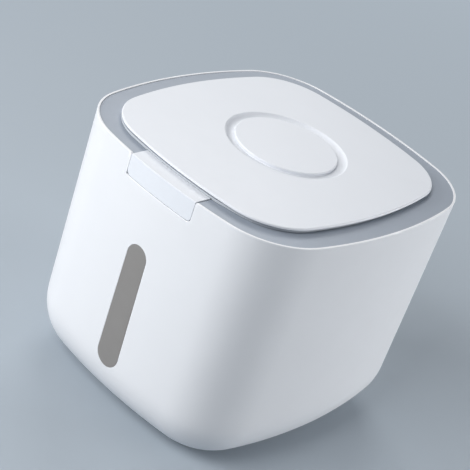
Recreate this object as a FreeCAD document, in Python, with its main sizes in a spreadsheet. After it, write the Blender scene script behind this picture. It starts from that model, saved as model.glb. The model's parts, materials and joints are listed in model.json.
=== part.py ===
"""Rice keeper: an upright bowed bin with a sprung flip lid, a press latch and a level window.

The frame has +Z up.  The origin is on the ground, under the middle of the rim.
The latch is at the front (-Y) and the lid hinge at the rear (+Y).  Millimetres.
"""
import FreeCAD
import Part
import math
import os
import re
import Sketcher
from FreeCAD import Vector

# ---------------------------------------------------------------- driving dimensions
SIZES = {
    # bin
    "rim_half_width": 125.0,
    "rim_half_depth": 136.4,
    "rim_height": 221.6,
    "side_bow_radius": 423.0,
    "rim_corner_radius": 62.0,
    "draft_angle": 0.48,
    "bottom_edge_radius": 49.5,
    "body_wall": 3.4,
    "rim_lip": 1.9,
    "ledge_depth": 22.0,
    # feet
    "foot_height": 1.2,
    "foot_radius": 9.0,
    "foot_recess": 1.5,
    "foot_side_margin": 69.0,
    "foot_end_margin": 72.4,
    "foot_gap": 0.1,
    # level window
    "window_width": 23.1,
    "window_top_drop": 61.3,
    "window_bottom_drop": 176.7,
    "window_flange": 6.5,
    "window_flange_thickness": 1.6,
    "window_gap": 0.15,
    "gasket_thickness": 0.8,
    "gasket_margin": 0.4,
    "gasket_width": 2.4,
    "stake_radius": 1.0,
    "stake_head_radius": 1.7,
    "stake_head_height": 0.9,
    "stake_gap": 0.2,
    "stake_offset": 4.7,
    "stake_pitch": 36.0,
    # top frame
    "frame_gap": 0.15,
    "band_drop": 0.6,
    "band_thickness": 2.2,
    "skirt_thickness": 1.8,
    "snap_depth": 0.5,
    "snap_height": 1.6,
    "snap_drop": 14.0,
    "snap_gap": 0.25,
    "mouth_side_margin": 17.7,
    "mouth_end_margin": 20.8,
    "mouth_centre_y": 0.5,
    "mouth_bow_radius": 380.0,
    "mouth_corner_radius": 42.0,
    "mouth_edge_radius": 1.0,
    "collar_thickness": 2.2,
    "collar_depth": 20.0,
    "frame_seal_height": 1.4,
    "frame_seal_margin": 0.1,
    # lid
    "lid_side_margin": 19.3,
    "lid_end_margin": 18.1,
    "lid_centre_y": -2.8,
    "lid_bow_radius": 399.0,
    "lid_corner_radius": 51.5,
    "lid_rise": 4.8,
    "lid_edge": 1.9,
    "lid_edge_radius": 1.1,
    "lid_shadow_gap": 1.1,
    "lid_step": 3.8,
    "lid_step_gap": 0.2,
    "lid_float": 0.4,
    "base_inset": 1.2,
    "base_web": 1.5,
    "plug_inset": 3.0,
    "plug_wall": 1.8,
    "plug_depth": 8.3,
    "plug_flange": 1.1,
    "plug_flange_reach": 1.4,
    "seal_gap": 0.3,
    "seal_fit": 0.05,
    "seal_web": 1.2,
    "seal_lip": 0.9,
    "seal_clearance": 0.3,
    "screw_side_margin": 39.7,
    "screw_end_margin": 48.3,
    "boss_radius": 3.6,
    "boss_wall": 1.6,
    "boss_gap": 0.15,
    "boss_length": 4.6,
    "boss_floor": 1.6,
    "screw_radius": 1.25,
    "screw_gap": 0.05,
    "screw_hole_gap": 0.25,
    "screw_head_radius": 2.7,
    "screw_head_height": 1.8,
    "screw_bite": 5.4,
    "screw_slot_width": 0.8,
    "screw_slot_depth": 0.8,
    # moulded ring in the lid
    "disc_radius": 43.5,
    "groove_outer_radius": 51.6,
    "groove_floor_radius": 46.0,
    "groove_depth": 2.6,
    "groove_centre_y": 4.3,
    "groove_blend_radius": 2.5,
    "disc_edge_radius": 0.5,
    # drying chamber and its vented cap
    "chamber_radius": 36.5,
    "chamber_wall": 1.8,
    "chamber_depth": 10.5,
    "chamber_flange": 1.2,
    "chamber_flange_reach": 2.4,
    "cap_gap": 0.7,
    "cap_wall": 1.6,
    "cap_skirt_height": 7.0,
    "cap_seat_gap": 0.3,
    "lug_reach": 1.4,
    "lug_height": 1.2,
    "lug_width": 10.0,
    "lug_gap": 0.3,
    "cap_stop_width": 1.5,
    "cap_stop_reach": 1.0,
    "vent_width": 2.2,
    "vent_inner_radius": 15.0,
    "vent_outer_radius": 31.0,
    "vent_count": 16,
    "grip_half_length": 13.0,
    "grip_half_width": 2.2,
    "grip_height": 4.0,
    # hinge
    "hinge_setback": 4.0,
    "hinge_rise": 0.6,
    "knuckle_radius": 2.7,
    "pin_radius": 1.2,
    "pin_head_radius": 2.0,
    "pin_head_length": 1.0,
    "pin_chamfer": 0.3,
    "pin_fit": 0.03,
    "knuckle_fit": 0.08,
    "ear_outer_x": 31.0,
    "ear_thickness": 3.0,
    "knuckle_outer_x": 27.6,
    "knuckle_width": 5.6,
    "ear_inner_x": 11.0,
    "hinge_relief": 0.5,
    "trough_half_width": 60.0,
    "trough_front": 5.0,
    "trough_rear": 6.1,
    "trough_drop": 7.5,
    "trough_wall": 1.8,
    "hinge_wire": 0.4,
    "hinge_coil_radius": 2.25,
    "hinge_coil_pitch": 1.0,
    "hinge_coil_turns": 7.5,
    "hinge_coil_start_x": 13.2,
    "hinge_leg": 9.0,
    "hinge_leg_gap": 0.3,
    "hinge_leg_relief": 2.0,
    # press latch
    "latch_half_width": 35.15,
    "latch_height": 17.6,
    "latch_gap": 0.4,
    "latch_skin": 2.2,
    "latch_top": 2.0,
    "latch_reach": 17.8,
    "latch_side_wall": 1.8,
    "latch_side_run": 13.0,
    "latch_edge_radius": 1.0,
    "latch_travel": 3.0,
    "latch_web": 2.5,
    "slider_side_inset": 5.15,
    "slider_thickness": 2.5,
    "slider_gap": 0.3,
    "slider_setback": 30.9,
    "slider_ear_reach": 4.0,
    "slider_ear_length": 3.0,
    "hook_half_width": 12.0,
    "hook_setback": 21.2,
    "hook_thickness": 3.0,
    "hook_barb": 2.0,
    "hook_bite": 1.4,
    "hook_nose": 4.0,
    "hook_side_gap": 1.0,
    "pocket_wall": 1.8,
    "pocket_wall_setback": 15.4,
    "pocket_floor_gap": 1.1,
    "pocket_rear_setback": 34.4,
    "rail_inset": 3.0,
    "rail_width": 2.0,
    "stop_rib_width": 4.4,
    "stop_rib_length": 3.0,
    "latch_spring_inset": 12.15,
    "latch_spring_drop": 14.4,
    "latch_spring_radius": 2.2,
    "latch_spring_wire": 0.35,
    "latch_spring_turns": 6.0,
    "latch_bow_room": 0.7,
    "spigot_radius": 1.5,
    "spigot_length": 2.2,
    "spring_end_gap": 0.3,
    "weld_overlap": 0.2,
    "overcut": 5.0,
}

# ---------------------------------------------------------------- sizes worked out from them
DERIVED = {
    "shell_height": "rim_height - foot_height",
    "foot_spread_x": "rim_half_width - foot_side_margin",
    "foot_spread_y": "rim_half_depth - foot_end_margin",
    "ledge_z": "rim_height - ledge_depth",
    "band_z": "rim_height - band_drop",
    "band_under_z": "band_z - band_thickness",
    "frame_inset": "rim_lip + frame_gap",
    "skirt_inset": "frame_inset + skirt_thickness",
    "skirt_foot_z": "ledge_z + frame_seal_height",
    "window_radius": "window_width / 2",
    "window_top_z": "rim_height - window_top_drop",
    "window_bottom_z": "rim_height - window_bottom_drop",
    "window_middle_z": "(window_top_z + window_bottom_z) / 2",
    "gasket_inset": "body_wall + gasket_thickness",
    "flange_inset": "gasket_inset + window_flange_thickness",
    "lid_half_width": "rim_half_width - lid_side_margin",
    "lid_half_depth": "rim_half_depth - lid_end_margin",
    "mouth_half_width": "lid_half_width - mouth_side_margin",
    "mouth_half_depth": "lid_half_depth - mouth_end_margin",
    "lid_screw_x": "lid_half_width - screw_side_margin",
    "lid_screw_y": "lid_half_depth - screw_end_margin",
    "lid_top_z": "rim_height + lid_rise",
    "lid_edge_z": "lid_top_z - lid_edge",
    "base_rim_z": "lid_edge_z - lid_shadow_gap",
    "base_under_z": "band_z + lid_float",
    "base_web_z": "base_under_z + base_web",
    "plug_foot_z": "base_under_z - plug_depth",
    "lid_rear_y": "lid_centre_y + lid_half_depth",
    "hinge_y": "lid_rear_y - hinge_setback",
    "hinge_z": "rim_height + hinge_rise",
    "pocket_half_width": "latch_half_width + latch_gap",
    "hook_front_y": "rim_half_depth - hook_setback",
    "pocket_wall_y": "rim_half_depth - pocket_wall_setback",
    "pocket_rear_y": "rim_half_depth - pocket_rear_setback",
    "slider_rear_y": "rim_half_depth - slider_setback",
    "slider_half_width": "latch_half_width - slider_side_inset",
    "rail_x": "slider_half_width - rail_inset",
    "latch_spring_x": "latch_half_width - latch_spring_inset",
    "slider_top_z": "band_under_z - slider_gap",
    "slider_under_z": "slider_top_z - slider_thickness",
    "slider_ear_rear_y": "slider_rear_y + latch_gap",
    "slider_ear_front_y": "slider_ear_rear_y + slider_ear_length",
    "bar_front_y": "hook_front_y - hook_thickness - hook_barb + hook_bite",
    "hook_ledge_z": "slider_under_z - slider_gap",
    "hook_tip_z": "hook_ledge_z - hook_nose",
    "pocket_floor_z": "hook_tip_z - pocket_floor_gap",
    "notch_z": "rim_height - latch_height - latch_gap",
    "pocket_front_floor_z": "notch_z - slider_gap",
    "latch_top_rear_y": "rim_half_depth - latch_reach",
    "latch_web_rear_y": "hook_front_y + latch_travel + latch_gap",
    "chamber_foot_z": "base_under_z - chamber_depth",
    "cap_inner_radius": "chamber_radius + chamber_wall + lug_reach + cap_gap",
    "cap_face_z": "chamber_foot_z - cap_seat_gap",
    "cap_outer_z": "cap_face_z - cap_wall",
    "boss_foot_z": "base_web_z - boss_length",
    "boss_cup_z": "boss_foot_z - boss_floor",
    "latch_spring_z": "rim_height - latch_spring_drop",
    "latch_spring_front_y": "rim_half_depth - latch_skin - latch_bow_room - spring_end_gap",
    "latch_spring_rear_y": "pocket_wall_y + spring_end_gap",
    "hinge_coil_end_x": "hinge_coil_start_x + hinge_coil_pitch * hinge_coil_turns",
    "hinge_front_y": "hinge_y - knuckle_radius - hinge_relief",
    "relief_half_width": "ear_outer_x + pin_head_length + hinge_relief",
    "relief_top_z": "hinge_z + knuckle_radius + hinge_leg_gap",
    "chamber_outer_radius": "chamber_radius + chamber_wall",
    "lug_top_z": "chamber_foot_z + lug_height",
    "cap_lug_z": "lug_top_z + lug_gap",
    "latch_cut_y": "latch_top_rear_y - latch_travel - latch_gap",
    "barb_y": "hook_front_y - hook_thickness - hook_barb",
}

# ---------------------------------------------------------------- the three bowed outlines
RIM = {
    "half_width": "rim_half_width",
    "half_depth": "rim_half_depth",
    "bow": "side_bow_radius",
    "corner": "rim_corner_radius",
    "centre": "0",
}
LID = {
    "half_width": "lid_half_width",
    "half_depth": "lid_half_depth",
    "bow": "lid_bow_radius",
    "corner": "lid_corner_radius",
    "centre": "lid_centre_y",
}
MOUTH = {
    "half_width": "mouth_half_width",
    "half_depth": "mouth_half_depth",
    "bow": "mouth_bow_radius",
    "corner": "mouth_corner_radius",
    "centre": "mouth_centre_y",
}

START, END, CENTRE = range(1, 4)
ORIGIN = (-1, START)
X_AXIS, Y_AXIS = -1, -2

doc = FreeCAD.newDocument("RiceKeeper")
sheet = doc.addObject("Spreadsheet::Sheet", "Sizes")


def fill_sheet():
    """Write every driving dimension into the sheet under its own alias."""
    for row, (alias, number) in enumerate(SIZES.items(), 1):
        sheet.set(f"A{row}", alias)
        sheet.set(f"B{row}", str(number))
        sheet.setAlias(f"B{row}", alias)
    doc.recompute()


def formula(text):
    """Turn a sum of size names into an expression on the sheet."""
    def swap(match):
        word = match.group(0)
        if word in DERIVED:
            return "(" + formula(DERIVED[word]) + ")"
        return "Sizes." + word if word in SIZES else word
    return re.sub(r"[a-z_]+", swap, str(text))


def size(text):
    """The number that a sum of size names comes to."""
    result = sheet.evalExpression(formula(text))
    return float(getattr(result, "Value", result))


# ---------------------------------------------------------------- sketches
def new_body(label):
    body = doc.addObject("PartDesign::Body", label)
    body.Label = label
    return body


def new_sketch(body, name, plane, level="0", centre=None):
    """A sketch on one of the body's own origin planes, moved along that plane's axis to level.

    centre moves the sketch's own origin along +Y.
    """
    sketch = body.newObject("Sketcher::SketchObject", name)
    role = plane + "_Plane"
    support = [f for f in body.Origin.OriginFeatures if f.Role == role][0]
    sketch.AttachmentSupport = (support, [""])
    sketch.MapMode = "FlatFace"
    offset = f"-({level})" if plane == "XZ" else level
    sketch.setExpression("AttachmentOffset.Base.z", formula(offset))
    if centre:
        sketch.setExpression("AttachmentOffset.Base.y", formula(centre))
    return sketch


def fix(sketch, kind, *terms, to):
    """Add one dimension and tie it to the sheet."""
    index = sketch.addConstraint(Sketcher.Constraint(kind, *terms, size(to)))
    sketch.setExpression(f"Constraints[{index}]", formula(to))


def place_point(sketch, element, point, across, up):
    """Tie a point to its two coordinates."""
    if across == "0":
        sketch.addConstraint(Sketcher.Constraint("PointOnObject", element, point, Y_AXIS))
    else:
        fix(sketch, "DistanceX", *ORIGIN, element, point, to=across)
    if up == "0":
        sketch.addConstraint(Sketcher.Constraint("PointOnObject", element, point, X_AXIS))
    else:
        fix(sketch, "DistanceY", *ORIGIN, element, point, to=up)


def polygon(sketch, points):
    """A closed run of straight lines through points given as pairs of sums."""
    spots = [Vector(size(across), size(up), 0) for across, up in points]
    first = sketch.GeometryCount
    count = len(spots)
    for i, spot in enumerate(spots):
        sketch.addGeometry(Part.LineSegment(spot, spots[(i + 1) % count]))
    for i in range(count):
        joint = ("Coincident", first + i, END, first + (i + 1) % count, START)
        sketch.addConstraint(Sketcher.Constraint(*joint))
    for i, (across, up) in enumerate(points):
        place_point(sketch, first + i, START, across, up)


def rectangle(sketch, left, right, low, high):
    polygon(sketch, [(left, low), (right, low), (right, high), (left, high)])


def circle(sketch, across, up, radius):
    middle = Vector(size(across), size(up), 0)
    index = sketch.addGeometry(Part.Circle(middle, Vector(0, 0, 1), size(radius)))
    place_point(sketch, index, CENTRE, across, up)
    fix(sketch, "Radius", index, to=radius)


def arc(middle, radius, start, end):
    return Part.ArcOfCircle(Part.Circle(middle, Vector(0, 0, 1), radius), start, end)


def bowed_outline(sketch, form, inset="0"):
    """A rounded rectangle whose four sides bulge, drawn as eight tangent arcs.

    inset moves the whole outline inwards by an even distance.
    """
    half_width = f"{form['half_width']} - ({inset})"
    half_depth = f"{form['half_depth']} - ({inset})"
    bow = f"{form['bow']} - ({inset})"
    corner = f"{form['corner']} - ({inset})"
    centre = form["centre"]
    radius, small, middle_y = size(bow), size(corner), size(centre)
    back_x = radius - size(half_width)
    back_y = radius - size(half_depth)
    reach = radius - small
    # the corner's centre lies at the same distance, reach, from both side arcs' centres
    slope = back_y / back_x
    shift = (back_y ** 2 - back_x ** 2) / (2 * back_x)
    a_term = slope ** 2 + 1
    b_term = 2 * (slope * (shift + back_x))
    c_term = (shift + back_x) ** 2 - reach ** 2
    corner_y = (-b_term + math.sqrt(b_term ** 2 - 4 * a_term * c_term)) / (2 * a_term)
    corner_x = slope * corner_y + shift
    low = math.atan2(corner_y, corner_x + back_x)
    high = math.atan2(corner_y + back_y, corner_x)
    half_turn = math.pi
    arcs = [
        (-back_x, 0, radius, -low, low),
        (corner_x, corner_y, small, low, high),
        (0, -back_y, radius, high, half_turn - high),
        (-corner_x, corner_y, small, half_turn - high, half_turn - low),
        (back_x, 0, radius, half_turn - low, half_turn + low),
        (-corner_x, -corner_y, small, half_turn + low, half_turn + high),
        (0, back_y, radius, half_turn + high, 2 * half_turn - high),
        (corner_x, -corner_y, small, 2 * half_turn - high, 2 * half_turn - low),
    ]
    first = sketch.GeometryCount
    for across, up, bend, start, end in arcs:
        sketch.addGeometry(arc(Vector(across, up + middle_y, 0), bend, start, end))
    for i in range(8):
        joint = ("Tangent", first + i, END, first + (i + 1) % 8, START)
        sketch.addConstraint(Sketcher.Constraint(*joint))
    side_x = f"({bow}) - ({half_width})"
    side_y = f"({bow}) - ({half_depth})"
    for i, across, up in [
        (0, f"-({side_x})", centre),
        (2, "0", f"{centre} - ({side_y})"),
        (4, side_x, centre),
        (6, "0", f"{centre} + {side_y}"),
    ]:
        place_point(sketch, first + i, CENTRE, across, up)
    for i in range(8):
        fix(sketch, "Radius", first + i, to=bow if i % 2 == 0 else corner)


def stadium(sketch, radius, low, high):
    """An upright slot with round ends, centred across the sketch."""
    bend = size(radius)
    bottom = Vector(0, size(low) + bend, 0)
    top = Vector(0, size(high) - bend, 0)
    side = Vector(bend, 0, 0)
    first = sketch.GeometryCount
    sketch.addGeometry(arc(top, bend, 0, math.pi))
    sketch.addGeometry(Part.LineSegment(top - side, bottom - side))
    sketch.addGeometry(arc(bottom, bend, math.pi, 2 * math.pi))
    sketch.addGeometry(Part.LineSegment(bottom + side, top + side))
    for i in range(4):
        joint = ("Tangent", first + i, END, first + (i + 1) % 4, START)
        sketch.addConstraint(Sketcher.Constraint(*joint))
    place_point(sketch, first, CENTRE, "0", f"({high}) - ({radius})")
    place_point(sketch, first + 2, CENTRE, "0", f"({low}) + ({radius})")
    fix(sketch, "Radius", first, to=radius)


# ---------------------------------------------------------------- features
def volume_of(body):
    return body.Tip.Shape.Volume if body.Tip else 0.0


def finish_feature(body, feature, before, grows):
    """Recompute, and stop if the feature failed or worked the wrong way."""
    doc.recompute()
    if "Invalid" in feature.State or "Error" in feature.State:
        raise RuntimeError(f"{body.Label}: {feature.Name} failed")
    change = feature.Shape.Volume - before
    if (change > 0) != grows:
        raise RuntimeError(f"{body.Label}: {feature.Name} changed the volume by {change:.3f}")
    return feature


def extrude(body, kind, sketch, length, flip, both, taper):
    before = volume_of(body)
    word = kind.split("::")[1]
    feature = body.newObject(kind, sketch.Name + "_" + word)
    feature.Profile = sketch
    feature.setExpression("Length", formula(length))
    feature.Reversed = flip
    feature.Midplane = both
    feature.Refine = True
    if taper:
        feature.setExpression("TaperAngle", formula(taper))
    sketch.Visibility = False
    return finish_feature(body, feature, before, kind == "PartDesign::Pad")


def pad(body, sketch, length, flip=False, both=False, taper=None):
    """Add material: up from XY, towards the front from XZ and towards +X from YZ, or the other way."""
    return extrude(body, "PartDesign::Pad", sketch, length, flip, both, taper)


def pocket(body, sketch, length, flip=False, both=False, taper=None):
    """Take material away: down from XY, towards the rear from XZ, towards -X from YZ, or flipped."""
    return extrude(body, "PartDesign::Pocket", sketch, length, flip, both, taper)


def turn(body, sketch, kind="PartDesign::Revolution"):
    """Turn a profile about the sketch's upright axis."""
    before = volume_of(body)
    word = kind.split("::")[1]
    feature = body.newObject(kind, sketch.Name + "_" + word)
    feature.Profile = sketch
    feature.ReferenceAxis = (sketch, ["V_Axis"])
    feature.Angle = 360
    sketch.Visibility = False
    return finish_feature(body, feature, before, kind == "PartDesign::Revolution")


def edges_of(feature, test):
    """The names of the edges whose middle and bounding box pass a test."""
    names = []
    for number, edge in enumerate(feature.Shape.Edges, 1):
        box = edge.BoundBox
        if test(box):
            names.append(f"Edge{number}")
    return names


def round_edges(body, name, radius, test, grows=False, kind="PartDesign::Fillet"):
    before = volume_of(body)
    base = body.Tip
    names = edges_of(base, test)
    if not names:
        raise RuntimeError(f"{body.Label}: no edge for {name}")
    feature = body.newObject(kind, name)
    feature.Base = (base, names)
    feature.setExpression("Radius" if kind.endswith("Fillet") else "Size", formula(radius))
    return finish_feature(body, feature, before, grows)


def mirror(body, features, name):
    """Repeat features on the other side of the middle plane."""
    before = volume_of(body)
    mirrored = body.newObject("PartDesign::Mirrored", name)
    mirrored.Originals = features
    plane = [f for f in body.Origin.OriginFeatures if f.Role == "YZ_Plane"][0]
    mirrored.MirrorPlane = (plane, [""])
    body.Tip = mirrored
    grows = features[0].TypeId != "PartDesign::Pocket"
    return finish_feature(body, mirrored, before, grows)


def polar(body, features, name, count, axis_sketch):
    before = volume_of(body)
    pattern = body.newObject("PartDesign::PolarPattern", name)
    pattern.Originals = features
    pattern.Axis = (axis_sketch, ["N_Axis"])
    pattern.Angle = 360
    pattern.setExpression("Occurrences", formula(count))
    body.Tip = pattern
    grows = features[0].TypeId != "PartDesign::Pocket"
    return finish_feature(body, pattern, before, grows)


def subtract(body, tool):
    """Cut another body's whole form out of this one."""
    before = volume_of(body)
    cut = body.newObject("PartDesign::Boolean", tool.Label + "_cut")
    cut.Type = "Cut"
    cut.setObjects([tool])
    return finish_feature(body, cut, before, False)


def near(number, target, room=0.05):
    return abs(number - target) < room


def level_at(height):
    """A test for edges that lie flat at one height."""
    return lambda box: near(box.ZMin, height) and near(box.ZMax, height)


def ring(body, name, form, outer, inner, level, length, flip=True):
    """Pad the band between two insets of one outline."""
    sketch = new_sketch(body, name, "XY", level)
    bowed_outline(sketch, form, outer)
    bowed_outline(sketch, form, inner)
    return pad(body, sketch, length, flip=flip)


# ---------------------------------------------------------------- bin
def hull_form(label, inset):
    """The drafted, round-bottomed outer form of the bin, moved inwards by inset all over."""
    body = new_body(label)
    sketch = new_sketch(body, label + "_outline", "XY", "rim_height")
    bowed_outline(sketch, RIM, inset)
    pad(body, sketch, f"shell_height - ({inset})", flip=True, taper="-draft_angle")
    bottom = size(f"foot_height + {inset}")
    round_edges(body, label + "_round", f"bottom_edge_radius - ({inset})", level_at(bottom))
    body.Visibility = False
    return body


def make_bin_body():
    """The outer shell: wall, floor, thin rim lip, latch notch, window slot, foot recesses."""
    body = new_body("bin_body")
    outer = new_sketch(body, "bin_outer", "XY", "rim_height")
    bowed_outline(outer, RIM)
    pad(body, outer, "shell_height", flip=True, taper="-draft_angle")
    round_edges(body, "bin_outer_round", "bottom_edge_radius", level_at(size("foot_height")))

    subtract(body, hull_form("bin_cavity", "body_wall"))

    lip = new_sketch(body, "rim_rebate", "XY", "rim_height")
    bowed_outline(lip, RIM, "rim_lip")
    pocket(body, lip, "ledge_depth")

    groove = new_sketch(body, "snap_groove", "XY", "rim_height - snap_drop + snap_gap")
    bowed_outline(groove, RIM, "frame_inset - snap_depth - snap_gap")
    pocket(body, groove, "snap_height + 2 * snap_gap")

    notch = new_sketch(body, "latch_notch", "XZ", "-latch_top_rear_y")
    rectangle(notch, "-pocket_half_width", "pocket_half_width", "notch_z", "rim_height + overcut")
    pocket(body, notch, "latch_reach + overcut", flip=True)

    slot = new_sketch(body, "window_slot", "XZ", "-latch_top_rear_y")
    stadium(slot, "window_radius", "window_bottom_z", "window_top_z")
    pocket(body, slot, "latch_reach + overcut", flip=True)

    recess = new_sketch(body, "foot_recesses", "XY", "foot_height")
    for side in ("-", ""):
        for end in ("-", ""):
            circle(recess, side + "foot_spread_x", end + "foot_spread_y", "foot_radius + foot_gap")
    pocket(body, recess, "foot_recess", flip=True)
    return body


def wall_shift(height):
    """How far the draft brings the wall in at a height."""
    return f"(rim_height - ({height})) * tan(draft_angle)"


def stake_rows():
    """The heights of the three rows of stakes beside the window."""
    middle = "window_middle_z"
    return [f"{middle} - stake_pitch", middle, f"{middle} + stake_pitch"]


def stake_circles(sketch, height, radius):
    for side in ("-", ""):
        circle(sketch, f"{side}(window_radius + stake_offset)", height, radius)


def add_window_stakes(body):
    """Pins on the inside of the front wall, headed over, that hold the window strip."""
    for row, height in enumerate(stake_rows()):
        seat = f"-(rim_half_depth - flange_inset) + {wall_shift(height)} + stake_gap * 2"
        pins = new_sketch(body, f"stake_pins_{row}", "XZ", seat)
        stake_circles(pins, height, "stake_radius")
        pad(body, pins, "flange_inset - body_wall + stake_gap + body_wall / 2")
        heads = new_sketch(body, f"stake_heads_{row}", "XZ", seat)
        stake_circles(heads, height, "stake_head_radius")
        pad(body, heads, "stake_head_height", flip=True)


# ---------------------------------------------------------------- Part booleans
def combine(kind, label, base, tool):
    """Join, cut or intersect two objects under a new name."""
    result = doc.addObject("Part::" + kind, label)
    result.Label = label
    result.Base = base
    result.Tool = tool
    doc.recompute()
    return result


def window_prism(label, radius, low, high, hole=None):
    """An upright slot-shaped prism through the front wall, ring-shaped where hole is given."""
    body = new_body(label)
    sketch = new_sketch(body, label + "_outline", "XZ", "-latch_top_rear_y")
    stadium(sketch, radius, low, high)
    if hole:
        stadium(sketch, *hole)
    pad(body, sketch, "latch_reach + overcut")
    body.Visibility = False
    return body


def grown_slot(extra):
    """The window slot's radius and ends, larger all round by extra."""
    low = f"window_bottom_z - ({extra})"
    return f"window_radius + {extra}", low, f"window_top_z + {extra}"


def make_window_lens():
    """The clear strip: a plug flush with the wall and a flange inside it with stake holes."""
    plug = window_prism("lens_plug", *grown_slot("-window_gap"))
    flange = window_prism("lens_flange", *grown_slot("window_flange"))
    plug_skin = combine("Common", "lens_plug_skin", plug, hull_form("lens_front_form", "0"))
    flange_form = hull_form("lens_flange_form", "gasket_inset")
    flange_skin = combine("Common", "lens_flange_skin", flange, flange_form)
    whole = combine("Fuse", "lens_whole", plug_skin, flange_skin)
    shell = combine("Cut", "lens_shell", whole, hull_form("lens_inner_form", "flange_inset"))
    holes = new_body("lens_holes")
    sketch = new_sketch(holes, "lens_hole_circles", "XZ", "-latch_top_rear_y")
    for height in stake_rows():
        stake_circles(sketch, height, "stake_radius + stake_gap")
    pad(holes, sketch, "latch_reach")
    return combine("Cut", "window_lens", shell, holes)


def make_window_gasket():
    """The soft ring squeezed between the wall and the window's flange."""
    hole = grown_slot("gasket_margin")
    prism = window_prism("gasket_prism", *grown_slot("gasket_margin + gasket_width"), hole=hole)
    skin = combine("Common", "gasket_skin", prism, hull_form("gasket_outer_form", "body_wall"))
    inner = hull_form("gasket_inner_form", "gasket_inset")
    return combine("Cut", "window_gasket", skin, inner)


# ---------------------------------------------------------------- top frame
def frame_latch_pocket(body):
    """The closed box behind the latch notch: springs in front, slider and hook behind."""
    front = "-(rim_half_depth - skirt_inset + weld_overlap)"
    rear = "-(pocket_rear_y - pocket_wall)"
    wall = "-(pocket_wall_y - pocket_wall)"
    deep = "pocket_front_floor_z - pocket_wall"
    shallow = "pocket_floor_z - pocket_wall"
    block = new_sketch(body, "pocket_block", "YZ")
    polygon(block, [
        (front, "band_under_z"), (front, deep), (wall, deep),
        (wall, shallow), (rear, shallow), (rear, "band_under_z"),
    ])
    pad(body, block, "2 * (pocket_half_width + pocket_wall)", both=True)

    outside = "-(rim_half_depth + overcut)"
    space = new_sketch(body, "pocket_space", "YZ")
    polygon(space, [
        (outside, "rim_height + overcut"), (outside, "pocket_front_floor_z"),
        ("-pocket_wall_y", "pocket_front_floor_z"), ("-pocket_wall_y", "pocket_floor_z"),
        ("-pocket_rear_y", "pocket_floor_z"), ("-pocket_rear_y", "band_under_z"),
        ("-latch_cut_y", "band_under_z"), ("-latch_cut_y", "rim_height + overcut"),
    ])
    pocket(body, space, "2 * pocket_half_width", both=True)

    slot = new_sketch(body, "hook_slot", "XY", "band_z")
    half = "hook_half_width + hook_side_gap"
    rectangle(slot, f"-({half})", half, "-latch_cut_y - weld_overlap", "-barb_y + hook_side_gap")
    pocket(body, slot, "band_thickness")

    rail = new_sketch(body, "slider_rail", "XY", "pocket_floor_z")
    rectangle(rail, "rail_x", "rail_x + rail_width", wall, "-pocket_rear_y")
    rails = pad(body, rail, "slider_under_z - slider_gap - pocket_floor_z")
    mirror(body, [rails], "slider_rails")

    stop = new_sketch(body, "stop_rib", "XY", "pocket_floor_z")
    stop_rear = "-(slider_ear_front_y + slider_gap)"
    inner = "pocket_half_width - stop_rib_width"
    rectangle(stop, inner, "pocket_half_width", f"{stop_rear} - stop_rib_length", stop_rear)
    stops = pad(body, stop, "band_under_z - pocket_floor_z")
    mirror(body, [stops], "stop_ribs")

    spigots = new_sketch(body, "frame_spigots", "XZ", "-(pocket_wall_y - weld_overlap)")
    for side in ("-", ""):
        circle(spigots, side + "latch_spring_x", "latch_spring_z", "spigot_radius")
    pad(body, spigots, "spigot_length + weld_overlap")


def frame_hinge_trough(body):
    """The well that the lid's rear edge turns down into, with four ears for the pins."""
    rear = "hinge_y + trough_rear"
    front = "hinge_y - trough_front"
    block = new_sketch(body, "trough_block", "XY", "band_under_z")
    half = "trough_half_width + trough_wall"
    rectangle(block, f"-({half})", half, f"{front} - trough_wall", f"{rear} + trough_wall")
    floor = "rim_height - trough_drop"
    pad(body, block, f"band_under_z - ({floor}) + trough_wall", flip=True)
    space = new_sketch(body, "trough_space", "XY", "band_z")
    rectangle(space, "-trough_half_width", "trough_half_width", front, rear)
    pocket(body, space, f"band_z - ({floor})")

    made = []
    for name, outer in (("outer", "ear_outer_x"), ("inner", "ear_inner_x")):
        disc = new_sketch(body, f"ear_disc_{name}", "YZ", f"{outer} - ear_thickness")
        circle(disc, "hinge_y", "hinge_z", "knuckle_radius")
        stem = new_sketch(body, f"ear_stem_{name}", "YZ", f"{outer} - ear_thickness")
        left, right = f"{front} - weld_overlap", "hinge_y - hinge_leg_gap"
        polygon(stem, [
            (left, f"{floor} - weld_overlap"), (right, f"{floor} - weld_overlap"),
            (right, "hinge_z"), ("hinge_y - knuckle_radius", "hinge_z"),
            ("hinge_y - knuckle_radius", "band_z"), (left, "band_under_z"),
        ])
        made.append(pad(body, stem, "ear_thickness"))
        made.append(pad(body, disc, "ear_thickness"))
    mirror(body, made, "ears_other_side")

    bores = new_sketch(body, "ear_bores", "YZ")
    circle(bores, "hinge_y", "hinge_z", "pin_radius + pin_fit")
    pocket(body, bores, "2 * (ear_outer_x + pin_head_length)", both=True)

    slots = new_sketch(body, "spring_leg_slots", "XY", "band_z")
    reach = "hinge_y - hinge_leg - hinge_leg_gap"
    room = "(hinge_wire + hinge_leg_gap)"
    for middle in ("hinge_coil_start_x", "-hinge_coil_end_x"):
        rectangle(slots, f"{middle} - {room}", f"{middle} + {room}", reach, f"{front} + weld_overlap")
    pocket(body, slots, "band_z - (hinge_z - hinge_coil_radius - hinge_wire - hinge_leg_gap)")


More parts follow.
